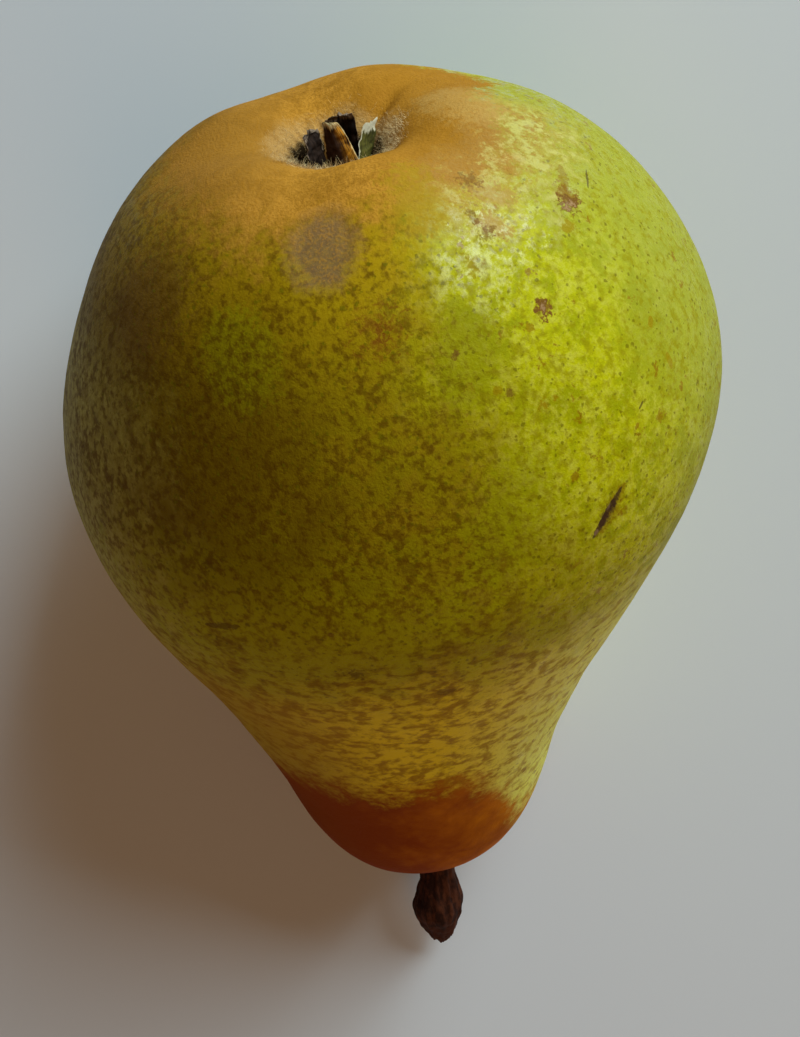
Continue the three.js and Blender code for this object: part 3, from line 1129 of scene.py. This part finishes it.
@dataclass(frozen=True)
class Openings:
    """The pale lip of the eye, and painted shade that darkens the eye's hollow and the stalk's socket."""

    lip: Colour = (0.62, 0.4, 0.16)
    # Dark colour of the painted shade in the eye's hollow and the stalk's socket.
    recess_shade: Colour = (0.035, 0.02, 0.008)
    lip_away: Span = (7.6, 5.0)
    lip_share: float = 0.45
    eye_away: Span = (5.2, 4.4)
    socket_away: Span = (2.9, 2.4)
    socket_along: Span = (88.0, 89.0)

    def over(self, field: SkinField, ground: Value) -> Value:
        """Lays both over a colour and gives the new one."""
        board = field.board
        lipped = board.eased(field.away + field.swing(mottle=4.0), *self.lip_away) * field.eye_end
        # Painted shade: the eye's hollow and the stalk's socket are darkened where shade falls.
        eye_shade = board.eased(field.away + field.swing(mottle=1.5), *self.eye_away) * field.eye_end
        socket_shade = board.eased(field.away, *self.socket_away) * board.eased(field.along, *self.socket_along)
        colour = board.mixed(lipped * self.lip_share, ground, self.lip)
        return board.mixed(eye_shade + socket_shade, colour, self.recess_shade)


@dataclass(frozen=True)
class SkinFinish:
    """Yellow-green skin, olive on one side, with brown blotches, dots and a russet cap at each end."""

    dots: Scatter = Scatter((0.16, 0.13, 0.001), 0.72, 0.1, 0.15, 0.18, 0.68)
    spots: Scatter = Scatter((0.28, 0.15, 0.001), 3.0, 0.3, 0.06, 0.14, 0.75)
    eye_cap: EyeCap = EyeCap()
    dust: Span = (0.45, 0.65)
    dust_share: float = 0.4
    wax_along: Span = (8.5, 3.5)
    wax_lumps: Span = (0.47, 0.59)
    wax_share: float = 0.95
    roughness: float = 0.5
    cork_roughness: float = 0.2
    gloss: float = 0.03
    wax_roughness: float = 0.2
    grain_depth: float = 0.06

    def material(self, fruit: Fruit) -> bpy.types.Material:
        """Builds the skin's material.

        Args:
            fruit: The fruit, for its form, its place and its bruise.

        Returns:
            The finished material.
        """
        board = Board("pear_skin")
        field = SkinField(board, fruit)
        colour, blotched = Blotches().over(field, Ground().colour(field))
        colour = self.dots.over(field, colour, field.swing(flecks=0.7, fine=0.5), 1 - field.necking)
        colour = self.spots.over(field, colour, field.swing(flecks=1.3), 1 - field.middle)
        colour, capped = self.eye_cap.over(field, colour)
        # The border's pale patches are partly a painted highlight.
        colour, broken, pale_highlight = BrokenBorder().over(field, colour)
        for mark in MARKS:
            colour = board.mixed(mark.shown(board, field.here, field.flecks), colour, mark.colour)
        colour, stalk_side = NeckCap().over(field, colour)
        bruised = fruit.bruise.shown(board, field.here, field.mottle)
        dusted = board.eased(field.fine, *self.dust) * self.dust_share
        colour = board.mixed(bruised, colour, board.mixed(dusted, fruit.bruise.colour, self.eye_cap.russet))
        corky = (blotched * 0.7 + capped + stalk_side * 0.9 + bruised).smaller(1.0)
        shader = {
            "Base Color": Openings().over(field, colour),
            "Roughness": self.roughness + corky * self.cork_roughness,
            "Specular IOR Level": self.gloss,
            "Coat Weight": (1 - corky + pale_highlight).smaller(1.0) * self.waxed(field, broken, pale_highlight),
            "Coat Roughness": self.wax_roughness,
        }
        height = field.fine * (0.9 + capped * 1.1) + field.flecks * 0.7 + field.mottle * 0.8
        return board.finish(shader, height, self.grain_depth)

    def waxed(self, field: SkinField, broken: Value, pale_highlight: Value) -> Value:
        """How strongly the broken coat of wax shows, least on the olive side and away from the eye.

        Args:
            field: The shared patterns.
            broken: How strongly the border's tan shows, which breaks the wax.
            pale_highlight: How strongly the border's pale patches show, which add to it; they are partly a
                painted highlight.

        Returns:
            A number from 0 to 1.
        """
        board = field.board
        lime_side = (1 - field.middle * 0.6) * (1 - field.left * 0.6)
        near_eye = board.eased(field.along + field.swing(clouds=6.0), *self.wax_along) * 0.75 + 0.25
        lumps = field.blend(clouds=0.3, mottle=0.3, flecks=0.4) - broken * 0.12 + pale_highlight * 0.1
        return board.eased(lumps, *self.wax_lumps) * self.wax_share * near_eye * lime_side


@dataclass(frozen=True)
class BladeFinish:
    """A dried sepal: fibres along the blade, a darker root, a paler margin and, where shade is set, painted
    shade over one half.
    """

    name: str
    face: Colour
    dark: Colour
    margin: Colour
    margin_share: float = 0.8
    tip_share: float = 0.94
    # How strongly painted shade darkens one half of the blade.
    shade: float = 0.0
    fibre_stretch: Point = (9.0, 1.6, 1.0)
    fibre_lumps: Span = (0.4, 0.6)
    shade_side: Span = (-0.55, 0.1)
    margin_end: float = 0.97
    tip_blend: float = 0.04
    root: Span = (0.45, 0.1)
    relief_depth: float = 0.12

    def material(self) -> bpy.types.Material:
        """Builds the blade's material."""
        board = Board(self.name)
        label = board.node("ShaderNodeUVMap", {"uv_map": "blade"}, kind=Kind.VECTOR)
        across, along, _ = board.parts(label)
        here = board.node("ShaderNodeTexCoord", output="Object", kind=Kind.VECTOR)
        fibres = board.grain(board.scaled(label, self.fibre_stretch), 1.0, 4.0, 0.6)
        stain = board.grain(here, 0.9 * METRES, 3.0, 0.6)
        colour = board.mixed(board.eased(fibres * 0.6 + stain * 0.4, *self.fibre_lumps), self.dark, self.face)
        # Painted shade: one half of the blade is darkened as if turned from the light.
        shaded = board.eased(across + (fibres - 0.5) * 0.5, *self.shade_side) * self.shade
        colour = board.mixed(shaded, colour, self.dark)
        side = (across * across) ** 0.5 + (stain - 0.5) * 0.3
        edged = board.eased(side, self.margin_share, self.margin_end)
        tip = along + (fibres - 0.5) * 0.2
        tipped = board.eased(tip, self.tip_share - self.tip_blend, self.tip_share + self.tip_blend)
        colour = board.mixed(edged.larger(tipped) * 0.8, colour, self.margin)
        colour = board.mixed(board.eased(along, *self.root) * 0.7, colour, self.dark)
        shader = {"Base Color": colour, "Roughness": 0.75, "Specular IOR Level": 0.15}
        return board.finish(shader, fibres * 0.8 + stain * 0.4, self.relief_depth)


@dataclass(frozen=True)
class Sepal:
    """One dried sepal.

    Args:
        name: The piece's name.
        turn: Its angle round the eye, in degrees.
        tip: Where its tip ends along the core.
        outward: How far its tip moves away from the core.
        sideways: How far its tip moves round the core.
        width: Its width at the root.
        point: The share of that width that the tip keeps.
        channel: How far its margins bend in, as a share of its half width.
        twist: How far it turns about its own length by the tip, in degrees.
        finish: Its colours.
    """

    name: str
    turn: float
    tip: float
    outward: float
    sideways: float
    width: float
    point: float
    channel: float
    twist: float
    finish: BladeFinish
    root_away: float = 2.72
    root_along: float = 6.0
    knee: float = 0.55
    thickness: float = 0.42
    rib_count: int = 9
    rib_depth: float = 0.35
    ragged: Relief = Relief(0.12, 1.1, 3, 4.0)
    waves: Relief = Relief(0.1, 1.5, 2, 0.0)
    crumple: float = 0.26
    crumple_size: float = 0.85
    rings: int = 56
    half_sides: int = 26

    def shell(self) -> Shell:
        """The blade: a thin channelled leaf with a ragged tip and crumpled faces."""
        share = np.linspace(0, 1, self.rings)[:, None]
        around = full_turn(2 * self.half_sides)
        across, face = np.cos(around), np.sin(around)
        edge = joined(across * self.width, 0.0, self.turn)
        reached = share * (1 + self.ragged.at(edge) * smooth_step(share, 0.6, 1))
        turn = math.radians(self.turn)
        away = np.array([0, math.cos(turn), math.sin(turn)])
        aside = np.array([0, -math.sin(turn), math.cos(turn)])
        wavy = 1 + self.waves.at(joined(reached * 6, across, self.turn))
        half = self.width / 2 * (1 + (self.point - 1) * reached**2) * wavy
        turned = np.radians(self.twist) * reached**0.8
        ribs = 1 + self.rib_depth * np.sin(self.rib_count * across + self.turn) * np.abs(face)
        thick = self.thickness / 2 * face * (1 - 0.4 * reached) * ribs
        inward = -self.channel * half * across**2
        sideways = across * half * np.cos(turned) - inward * np.sin(turned)
        outwards = across * half * np.sin(turned) + inward * np.cos(turned) + thick
        points = self.spine(reached, away, aside) + aside * sideways[..., None] + away * outwards[..., None]
        crumple = Relief(self.crumple, self.crumple_size, 3, self.turn).at(points)
        points += away * (crumple * smooth_step(share, 0.15, 0.5))[..., None]
        shell = Shell()
        shell.add_tube(points, joined(across, share))
        return shell

    def spine(self, reached: np.ndarray, away: np.ndarray, aside: np.ndarray) -> np.ndarray:
        """The blade's middle line, a curve from the root over the knee to the tip.

        Args:
            reached: How far along to read it, from 0 to 1.
            away: The direction away from the core.
            aside: The direction round the core.

        Returns:
            One point for each number in reached.
        """
        rise = np.array([self.tip - self.root_along, 0, 0])
        root = np.array([self.root_along, 0, 0]) + away * self.root_away
        tip = root + rise + away * self.outward + aside * self.sideways
        shares = ((1 - reached) ** 2, 2 * reached * (1 - reached), reached**2)
        corners = (root, root + rise * self.knee, tip)
        return sum(share[..., None] * corner for share, corner in zip(shares, corners))


@dataclass
class Calyx:
    """The dried calyx: a collar deep in the eye with five sepals standing round it."""

    place: RestingPlace
    olive_blade: BladeFinish = BladeFinish(
        "sepal_olive", (0.15, 0.13, 0.02), (0.05, 0.045, 0.01), (0.8, 0.72, 0.5), 0.95, 0.88
    )
    # The orange sepal's left half is darkened by painted shade.
    orange_blade: BladeFinish = BladeFinish(
        "sepal_orange", (0.5, 0.2, 0.01), (0.03, 0.011, 0.004), (0.7, 0.52, 0.24), 0.9, 0.95, 1.0
    )
    dark_blade: BladeFinish = BladeFinish(
        "sepal_dark", (0.034, 0.017, 0.01), (0.01, 0.005, 0.003), (0.34, 0.24, 0.16), 0.95, 0.95
    )
    collar_outline: tuple[Span, ...] = (
        (8.4, 3.2), (6.6, 3.3), (4.9, 3.2), (4.55, 2.8), (4.9, 2.3), (6.6, 2.1), (8.3, 2.0),
    )
    collar_rings: int = 40
    collar_sides: int = 72
    collar_crumple: Relief = Relief(0.04, 1.1, 2, 5.0)

    def sepals(self) -> list[Sepal]:
        """The five sepals, a fifth of a turn apart."""
        return [
            Sepal("sepal_right", 3, 0.7, 1.2, -1.4, 2.6, 0.5, 0.25, -66, self.olive_blade),
            Sepal("sepal_front", 75, -1.5, -0.35, 0.7, 3.4, 0.4, 0.4, -12, self.orange_blade),
            Sepal("sepal_stub", 147, 3.4, -0.4, 0.2, 2.2, 0.7, 0.2, 10, self.dark_blade),
            Sepal("sepal_left", 219, 0.8, 0.35, 0.0, 3.2, 0.95, 0.25, 12, self.dark_blade),
            Sepal("sepal_back", 291, 0.0, 0.3, 0.05, 3.4, 0.92, 0.2, -6, self.dark_blade),
        ]

    def build(self) -> None:
        """Makes the collar and the sepals and dresses them."""
        for sepal in self.sepals():
            piece = sepal.shell().to_object(sepal.name, self.place)
            dress(piece, sepal.finish.material(), "sepals", "sepals")
        piece = self.collar().to_object("collar", self.place)
        dress(piece, self.dark_blade.material(), "sepals", "sepals")

    def collar(self) -> Shell:
        """A crumpled cup with the sepals' roots in its wall."""
        rings = turned_rings(self.collar_outline, self.collar_rings, self.collar_sides)
        shell = Shell()
        shell.add_tube(rings * (1 + self.collar_crumple.at(rings))[..., None])
        return shell


@dataclass(frozen=True)
class FibreFinish:
    """Dry dark fibres."""

    name: str
    light: Colour
    dark: Colour
    roughness: float = 0.8

    def material(self) -> bpy.types.Material:
        """Builds the fibres' material."""
        board = Board(self.name)
        here = board.node("ShaderNodeTexCoord", output="Object", kind=Kind.VECTOR)
        stain = board.grain(here, 0.8 * METRES, 3.0, 0.6)
        colour = board.mixed(board.eased(stain, 0.4, 0.62), self.dark, self.light)
        shader = {"Base Color": colour, "Roughness": self.roughness, "Specular IOR Level": 0.2}
        return board.finish(shader, stain, 0.05)


@dataclass
class Stamens:
    """The withered tuft deep in the eye."""

    place: RestingPlace
    count: int = 20
    ring: float = 1.5
    root: float = 6.2
    shortest: float = 2.0
    longest: float = 4.6
    thickness: float = 0.13
    steps: int = 14
    sides: int = 8
    sway: float = 0.45
    flare: float = 0.3
    curl: float = 0.25
    anther: float = 1.6
    anther_bell: Span = (0.93, 0.09)
    plug_outline: tuple[Span, ...] = (
        (5.6, 0.05), (5.65, 0.8), (5.9, 1.5), (6.6, 1.85), (7.4, 1.85), (8.2, 1.8),
    )
    plug_rings: int = 24
    plug_sides: int = 48
    plug_crumple: Relief = Relief(0.08, 0.7, 2, 1.0)

    def build(self) -> bpy.types.Object:
        """Makes the plug with its filaments and dresses it."""
        shell = Shell()
        shell.add_tube(self.plug())
        for index in range(self.count):
            shell.add_tube(self.filament(index))
        piece = shell.to_object("stamen_tuft", self.place)
        finish = FibreFinish("stamens", (0.2, 0.14, 0.04), (0.03, 0.018, 0.008))
        dress(piece, finish.material(), "stamens", "stamens")
        return piece

    def plug(self) -> np.ndarray:
        """Rings of the domed plug that the filaments stand on."""
        rings = turned_rings(self.plug_outline, self.plug_rings, self.plug_sides)
        return rings + self.plug_crumple.at(rings)[..., None]

    def filament(self, index: int) -> np.ndarray:
        """Rings of one withered stamen, some with a shrunken anther at the tip."""
        share = (index + 0.5) / self.count
        turn = index * GOLDEN_TURN
        away = self.ring * math.sqrt(share)
        rise = self.longest + (self.shortest - self.longest) * share
        level = np.linspace(0, 1, self.steps)
        bend = self.sway * np.sin(2.6 * level + 1.7 * index) * level
        lean = away * (1 + self.flare * level**2)
        curl = self.curl * np.cos(2.1 * index) * level**2
        centre = joined(
            self.root - rise * (level - curl * 0.5),
            lean * np.cos(turn) + bend * np.sin(turn),
            lean * np.sin(turn) - bend * np.cos(turn),
        )
        swelling = self.anther * bell(level, *self.anther_bell) if index % 3 else 0 * level
        half = self.thickness * (1 - 0.4 * level + swelling)
        around = full_turn(self.sides)
        return centre[:, None] + half[:, None, None] * joined(0.0, np.sin(around), np.cos(around))


@dataclass
class Stalk:
    """The woody stalk, swollen at its outer end and snapped to a blunt wedge.

    Stations give distance along the core, sideways, upwards, half width and half height.
    """

    place: RestingPlace
    stations: tuple[tuple[float, ...], ...] = (
        (90.2, -5.5, 0, 2.05, 2.05), (94.5, -5.5, 0, 2.1, 2.1), (98.5, -5.8, 0.2, 2, 1.9),
        (102.5, -6.4, 0.6, 2.2, 2), (105.8, -6.9, 1, 2.9, 2.5), (108.2, -7.2, 1.3, 3.25, 2.7),
        (110.6, -7.4, 1.4, 2.6, 2.1), (112.8, -7.6, 1.6, 1.6, 1.3), (114.2, -7.7, 1.8, 0.6, 0.5),
    )
    rings: int = 130
    sides: int = 72
    knot_height: float = 0.06
    ridge_height: float = 0.035
    fine_ridge_height: float = 0.025
    bark_from: Span = (95.0, 98.0)
    torn_from: Span = (108.5, 112.0)
    fibres: Relief = Relief(0.13, 0.9, 3, 2.0)
    fibre_stretch: Point = (0.35, 1.0, 1.0)
    lumps: Relief = Relief(0.12, 2.4, 2, 6.0)
    splinters: Relief = Relief(0.5, 0.8, 2, 8.0)

    def build(self) -> bpy.types.Object:
        """Makes the stalk and dresses it."""
        path = through(np.array(self.stations), np.linspace(0, 1, self.rings))[:, None]
        turns = full_turn(self.sides)
        along, sideways, up, half_width, half_height = np.moveaxis(path, -1, 0)
        bark = smooth_step(along, *self.bark_from)
        knots = self.knot_height * np.sin(3 * turns + 0.55 * along)
        ridges = self.ridge_height * np.sin(11 * turns + 0.2 * along)
        ridges += self.fine_ridge_height * np.sin(19 * turns - 0.3 * along)
        scale = 1 + (knots + ridges) * bark
        across = sideways + half_width * scale * np.cos(turns)
        rings = joined(along, across, up + half_height * scale * np.sin(turns))
        rough = self.fibres.at(rings * self.fibre_stretch) + self.lumps.at(rings)
        outward = unit(rings - joined(along, sideways, up))
        rings = rings + outward * (rough * bark)[..., None]
        rings[..., 0] += smooth_step(along, *self.torn_from) * self.splinters.at(rings)
        shell = Shell()
        shell.add_tube(rings)
        piece = shell.to_object("stalk", self.place)
        dress(piece, StalkFinish().material(self.place), "stalk", "stem")
        return piece


@dataclass(frozen=True)
class StalkFinish:
    """Dark brown bark with grey-brown ridges and a raw snapped end."""

    bark: Colour = (0.022, 0.006, 0.003)
    ridge: Colour = (0.09, 0.026, 0.01)
    raw: Colour = (0.07, 0.02, 0.009)
    bark_stretch: Point = (0.3, 1.0, 1.0)
    bark_lumps: Span = (0.42, 0.62)
    snapped_from: Span = (109.5, 111.5)

    def material(self, place: RestingPlace) -> bpy.types.Material:
        """Builds the bark's material."""
        board = Board("stalk")
        here = board.growing(place)
        along = board.parts(here)[0]
        fibres = board.grain(board.scaled(here, self.bark_stretch), 0.7, 4.0, 0.65)
        stain = board.grain(here, 2.2, 3.0, 0.6)
        colour = board.mixed(board.eased(fibres * 0.6 + stain * 0.4, *self.bark_lumps), self.bark, self.ridge)
        snapped = board.eased(along + (stain - 0.5) * 3.0, *self.snapped_from)
        colour = board.mixed(snapped * 0.7, colour, self.raw)
        shader = {"Base Color": colour, "Roughness": 0.8, "Specular IOR Level": 0.15}
        return board.finish(shader, fibres + stain * 0.5, 0.15)


@dataclass
class Down:
    """Pale hairs on the lip of the eye.

    Args:
        fruit: The fruit that they grow on.
        name: The piece's name.
        count: How many there are.
        nearest: Least distance of a root from the core.
        furthest: Greatest distance of a root from the core.
        shortest: Length of the shortest hair.
        longest: Length of the longest hair.
        thickness: Half the width of a hair at its root.
        middle_turn: Middle of the arc round the eye that they cover, in degrees.
        half_turn: Half of that arc, in degrees.
        seed: Picks the scatter.
        eyeward: How strongly they lean out of the eye.
        tilt: How far each leans its own way, for a length of 1.
        droop: How far each tip bends aside, for a length of 1.
        sunk: The share of a hair that is under the skin.
        gather: The two shapes of the beta spread from the nearest row to the furthest.
    """

    fruit: Fruit
    name: str
    count: int
    nearest: float
    furthest: float
    shortest: float
    longest: float
    thickness: float
    middle_turn: float = 90.0
    half_turn: float = 180.0
    seed: int = 11
    eyeward: float = 0.4
    tilt: float = 1.0
    droop: float = 0.35
    sunk: float = 0.1
    gather: Span = (1.9, 2.2)

    def build(self) -> bpy.types.Object:
        """Makes the hairs and dresses them."""
        draw = np.random.default_rng(self.seed)
        rings, outward = self.fruit.rings, self.fruit.outward
        away = np.linalg.norm(rings[:, 0, 1:], axis=-1)
        first = int(np.argmax(away > self.nearest))
        last = int(np.argmax(away > self.furthest))
        around_eye = draw.uniform(-self.half_turn, self.half_turn, self.count) + self.middle_turn
        sides = np.floor(around_eye / 360 * self.fruit.sides).astype(int) % self.fruit.sides
        shell = Shell()
        for side in sides:
            row = first + int((last - first) * draw.beta(*self.gather))
            down_row, around = draw.random(2)
            beside = (side + 1) % self.fruit.sides
            root = rings[row, side] + down_row * (rings[row + 1, side] - rings[row, side])
            root = root + around * (rings[row, beside] - rings[row, side])
            tilt = draw.normal(0, self.tilt, 3)
            heading = unit(outward[row, side] + tilt - (self.eyeward, 0, 0))
            reach = self.shortest + (self.longest - self.shortest) * draw.random()
            shell.add_tube(self.hair(root, heading, reach, draw.normal(0, self.droop, 3)))
        piece = shell.to_object(self.name, self.fruit.place)
        finish = FibreFinish(self.name, (0.86, 0.66, 0.34), (0.58, 0.36, 0.13), 0.5)
        dress(piece, finish.material(), "skin", "fruit")
        return piece

    def hair(self, root: np.ndarray, heading: np.ndarray, reach: float, droop: np.ndarray) -> np.ndarray:
        """Rings of one tapered hair.

        Args:
            root: Where it grows.
            heading: The way it leaves the skin.
            reach: Its length.
            droop: How far its tip bends aside.

        Returns:
            Three rings of three points.
        """
        level = np.array([0.0, 0.5, 1.0])[:, None]
        centre = root + heading * (level - self.sunk) * reach + droop * level**2 * reach
        side = unit(np.cross(heading, (0.3, 0.5, 0.8)))
        other = np.cross(heading, side)
        turns = full_turn(3)[:, None]
        offset = np.cos(turns) * side + np.sin(turns) * other
        half = self.thickness * (1 - 0.8 * level)
        return centre[:, None] + half[..., None] * offset


@dataclass(frozen=True)
class FloorFinish:
    """A plain pale matt surface."""

    colour: Colour = (0.7, 0.75, 0.79)

    def material(self) -> bpy.types.Material:
        """Builds the surface's material."""
        board = Board("floor")
        return board.finish({"Base Color": self.colour, "Roughness": 0.6})


@dataclass(frozen=True)
class SoftLight:
    """One soft light that faces the pear.

    Args:
        name: Its name.
        spot: Where it hangs, in metres in the row frame.
        size: Its width and height, in metres.
        power: Its power, in watts.
        colour: Its colour.
    """

    name: str
    spot: Point
    size: Span
    power: float
    colour: Colour

    def build(self) -> None:
        """Adds the light."""
        data = bpy.data.lights.new(self.name, "AREA")
        data.shape = "RECTANGLE"
        data.size, data.size_y = self.size
        data.energy = self.power
        data.color = self.colour
        light = bpy.data.objects.new(self.name, data)
        light.location = self.spot
        light.rotation_euler = (-Vector(self.spot)).to_track_quat("-Z", "Y").to_euler()
        bpy.context.scene.collection.objects.link(light)
        LOG.info("%s: %.1f watts", self.name, self.power)


@dataclass
class Studio:
    """The plain floor, the soft light and the camera at the photograph's angle.

    Places are in the growing frame: the camera stands off from a point of the core, raised
    from the core's far end, and looks at another point.
    """

    place: RestingPlace
    stand: Point = (30.0, 0.0, 0.0)
    distance: float = 180.0
    raised: float = 58.65
    look_at: Point = (46.43, -1.41, 0.0)
    roll: float = -12.19
    focal_pixels: float = 1699.4
    nearest_seen: float = 0.01
    floor_half_width: float = 1.5
    lights: tuple[SoftLight, ...] = (
        SoftLight("window", (-0.8, 0.68, 0.52), (0.56, 0.96), 17.5, (0.8, 0.95, 1.0)),
        SoftLight("lamp", (1.05, 0.05, 0.5), (0.5, 0.5), 1.8, (1.0, 0.54, 0.25)),
        SoftLight("ceiling", (0.3, 0.1, 1.2), (0.7, 0.7), 1.0, (1.0, 0.62, 0.35)),
    )
    sky_colour: Colour = (1.0, 0.6, 0.38)
    sky_strength: float = 0.08

    def build(self) -> None:
        """Makes the floor, the lights and the camera."""
        self.add_floor()
        self.add_camera()
        for light in self.lights:
            light.build()
        self.add_sky()

    def add_floor(self) -> None:
        """Adds the surface that the pear lies on."""
        half = self.floor_half_width
        mesh = bpy.data.meshes.new("floor")
        corners = [(-half, -half, 0), (half, -half, 0), (half, half, 0), (-half, half, 0)]
        mesh.from_pydata(corners, [], [(0, 1, 2, 3)])
        floor = bpy.data.objects.new("floor", mesh)
        bpy.context.scene.collection.objects.link(floor)
        floor.data.materials.append(FloorFinish().material())
        LOG.info("floor: %.0f metres across", 2 * half)

    def add_camera(self) -> None:
        """Adds the camera and makes it the scene's own."""
        raised = math.radians(self.raised)
        out = np.array([-math.cos(raised), 0, math.sin(raised)])
        stand = np.array(self.stand) + self.distance * out
        forward = unit(np.array(self.look_at) - stand)
        level_up = np.array([-1.0, 0, 0])
        level_up = unit(level_up - forward * (level_up @ forward))
        level_right = np.cross(forward, level_up)
        roll = math.radians(self.roll)
        right = level_right * math.cos(roll) + level_up * math.sin(roll)
        up = level_up * math.cos(roll) - level_right * math.sin(roll)
        axes = [self.place.direction(axis) for axis in (right, up, -forward)]
        matrix = Matrix(np.array(axes).T.tolist()).to_4x4()
        matrix.translation = Vector(self.place.set_down(stand) * METRES)
        data = bpy.data.cameras.new("camera")
        data.sensor_fit = "VERTICAL"
        data.sensor_height = SENSOR
        data.lens = SENSOR * self.focal_pixels / PHOTO_HEIGHT
        data.clip_start = self.nearest_seen
        camera = bpy.data.objects.new("camera", data)
        camera.matrix_world = matrix
        bpy.context.scene.collection.objects.link(camera)
        bpy.context.scene.camera = camera

    def add_sky(self) -> None:
        """Adds the even light that comes from all round."""
        world = bpy.data.worlds.new("room")
        world.use_nodes = True
        sky = world.node_tree.nodes["Background"]
        sky.inputs["Color"].default_value = (*self.sky_colour, 1.0)
        sky.inputs["Strength"].default_value = self.sky_strength
        bpy.context.scene.world = world


def main() -> None:
    """Builds the pear and the studio round it."""
    logging.basicConfig(level=logging.INFO)
    bpy.context.scene.view_settings.view_transform = "Standard"
    fruit = Fruit(Skin())
    fruit.build()
    Calyx(fruit.place).build()
    Stamens(fruit.place).build()
    Stalk(fruit.place).build()
    down = Down(
        fruit, "eye_down", count=4000, nearest=3.85, furthest=7.8, shortest=0.2, longest=0.6, thickness=0.014
    )
    down.build()
    fringe = Down(
        fruit, "lip_fringe", count=1500, nearest=4.3, furthest=7.8, shortest=0.3, longest=0.8,
        thickness=0.022, middle_turn=65.0, half_turn=80.0, seed=12,
    )
    fringe.build()
    Studio(fruit.place).build()


if __name__ == "__main__":
    main()
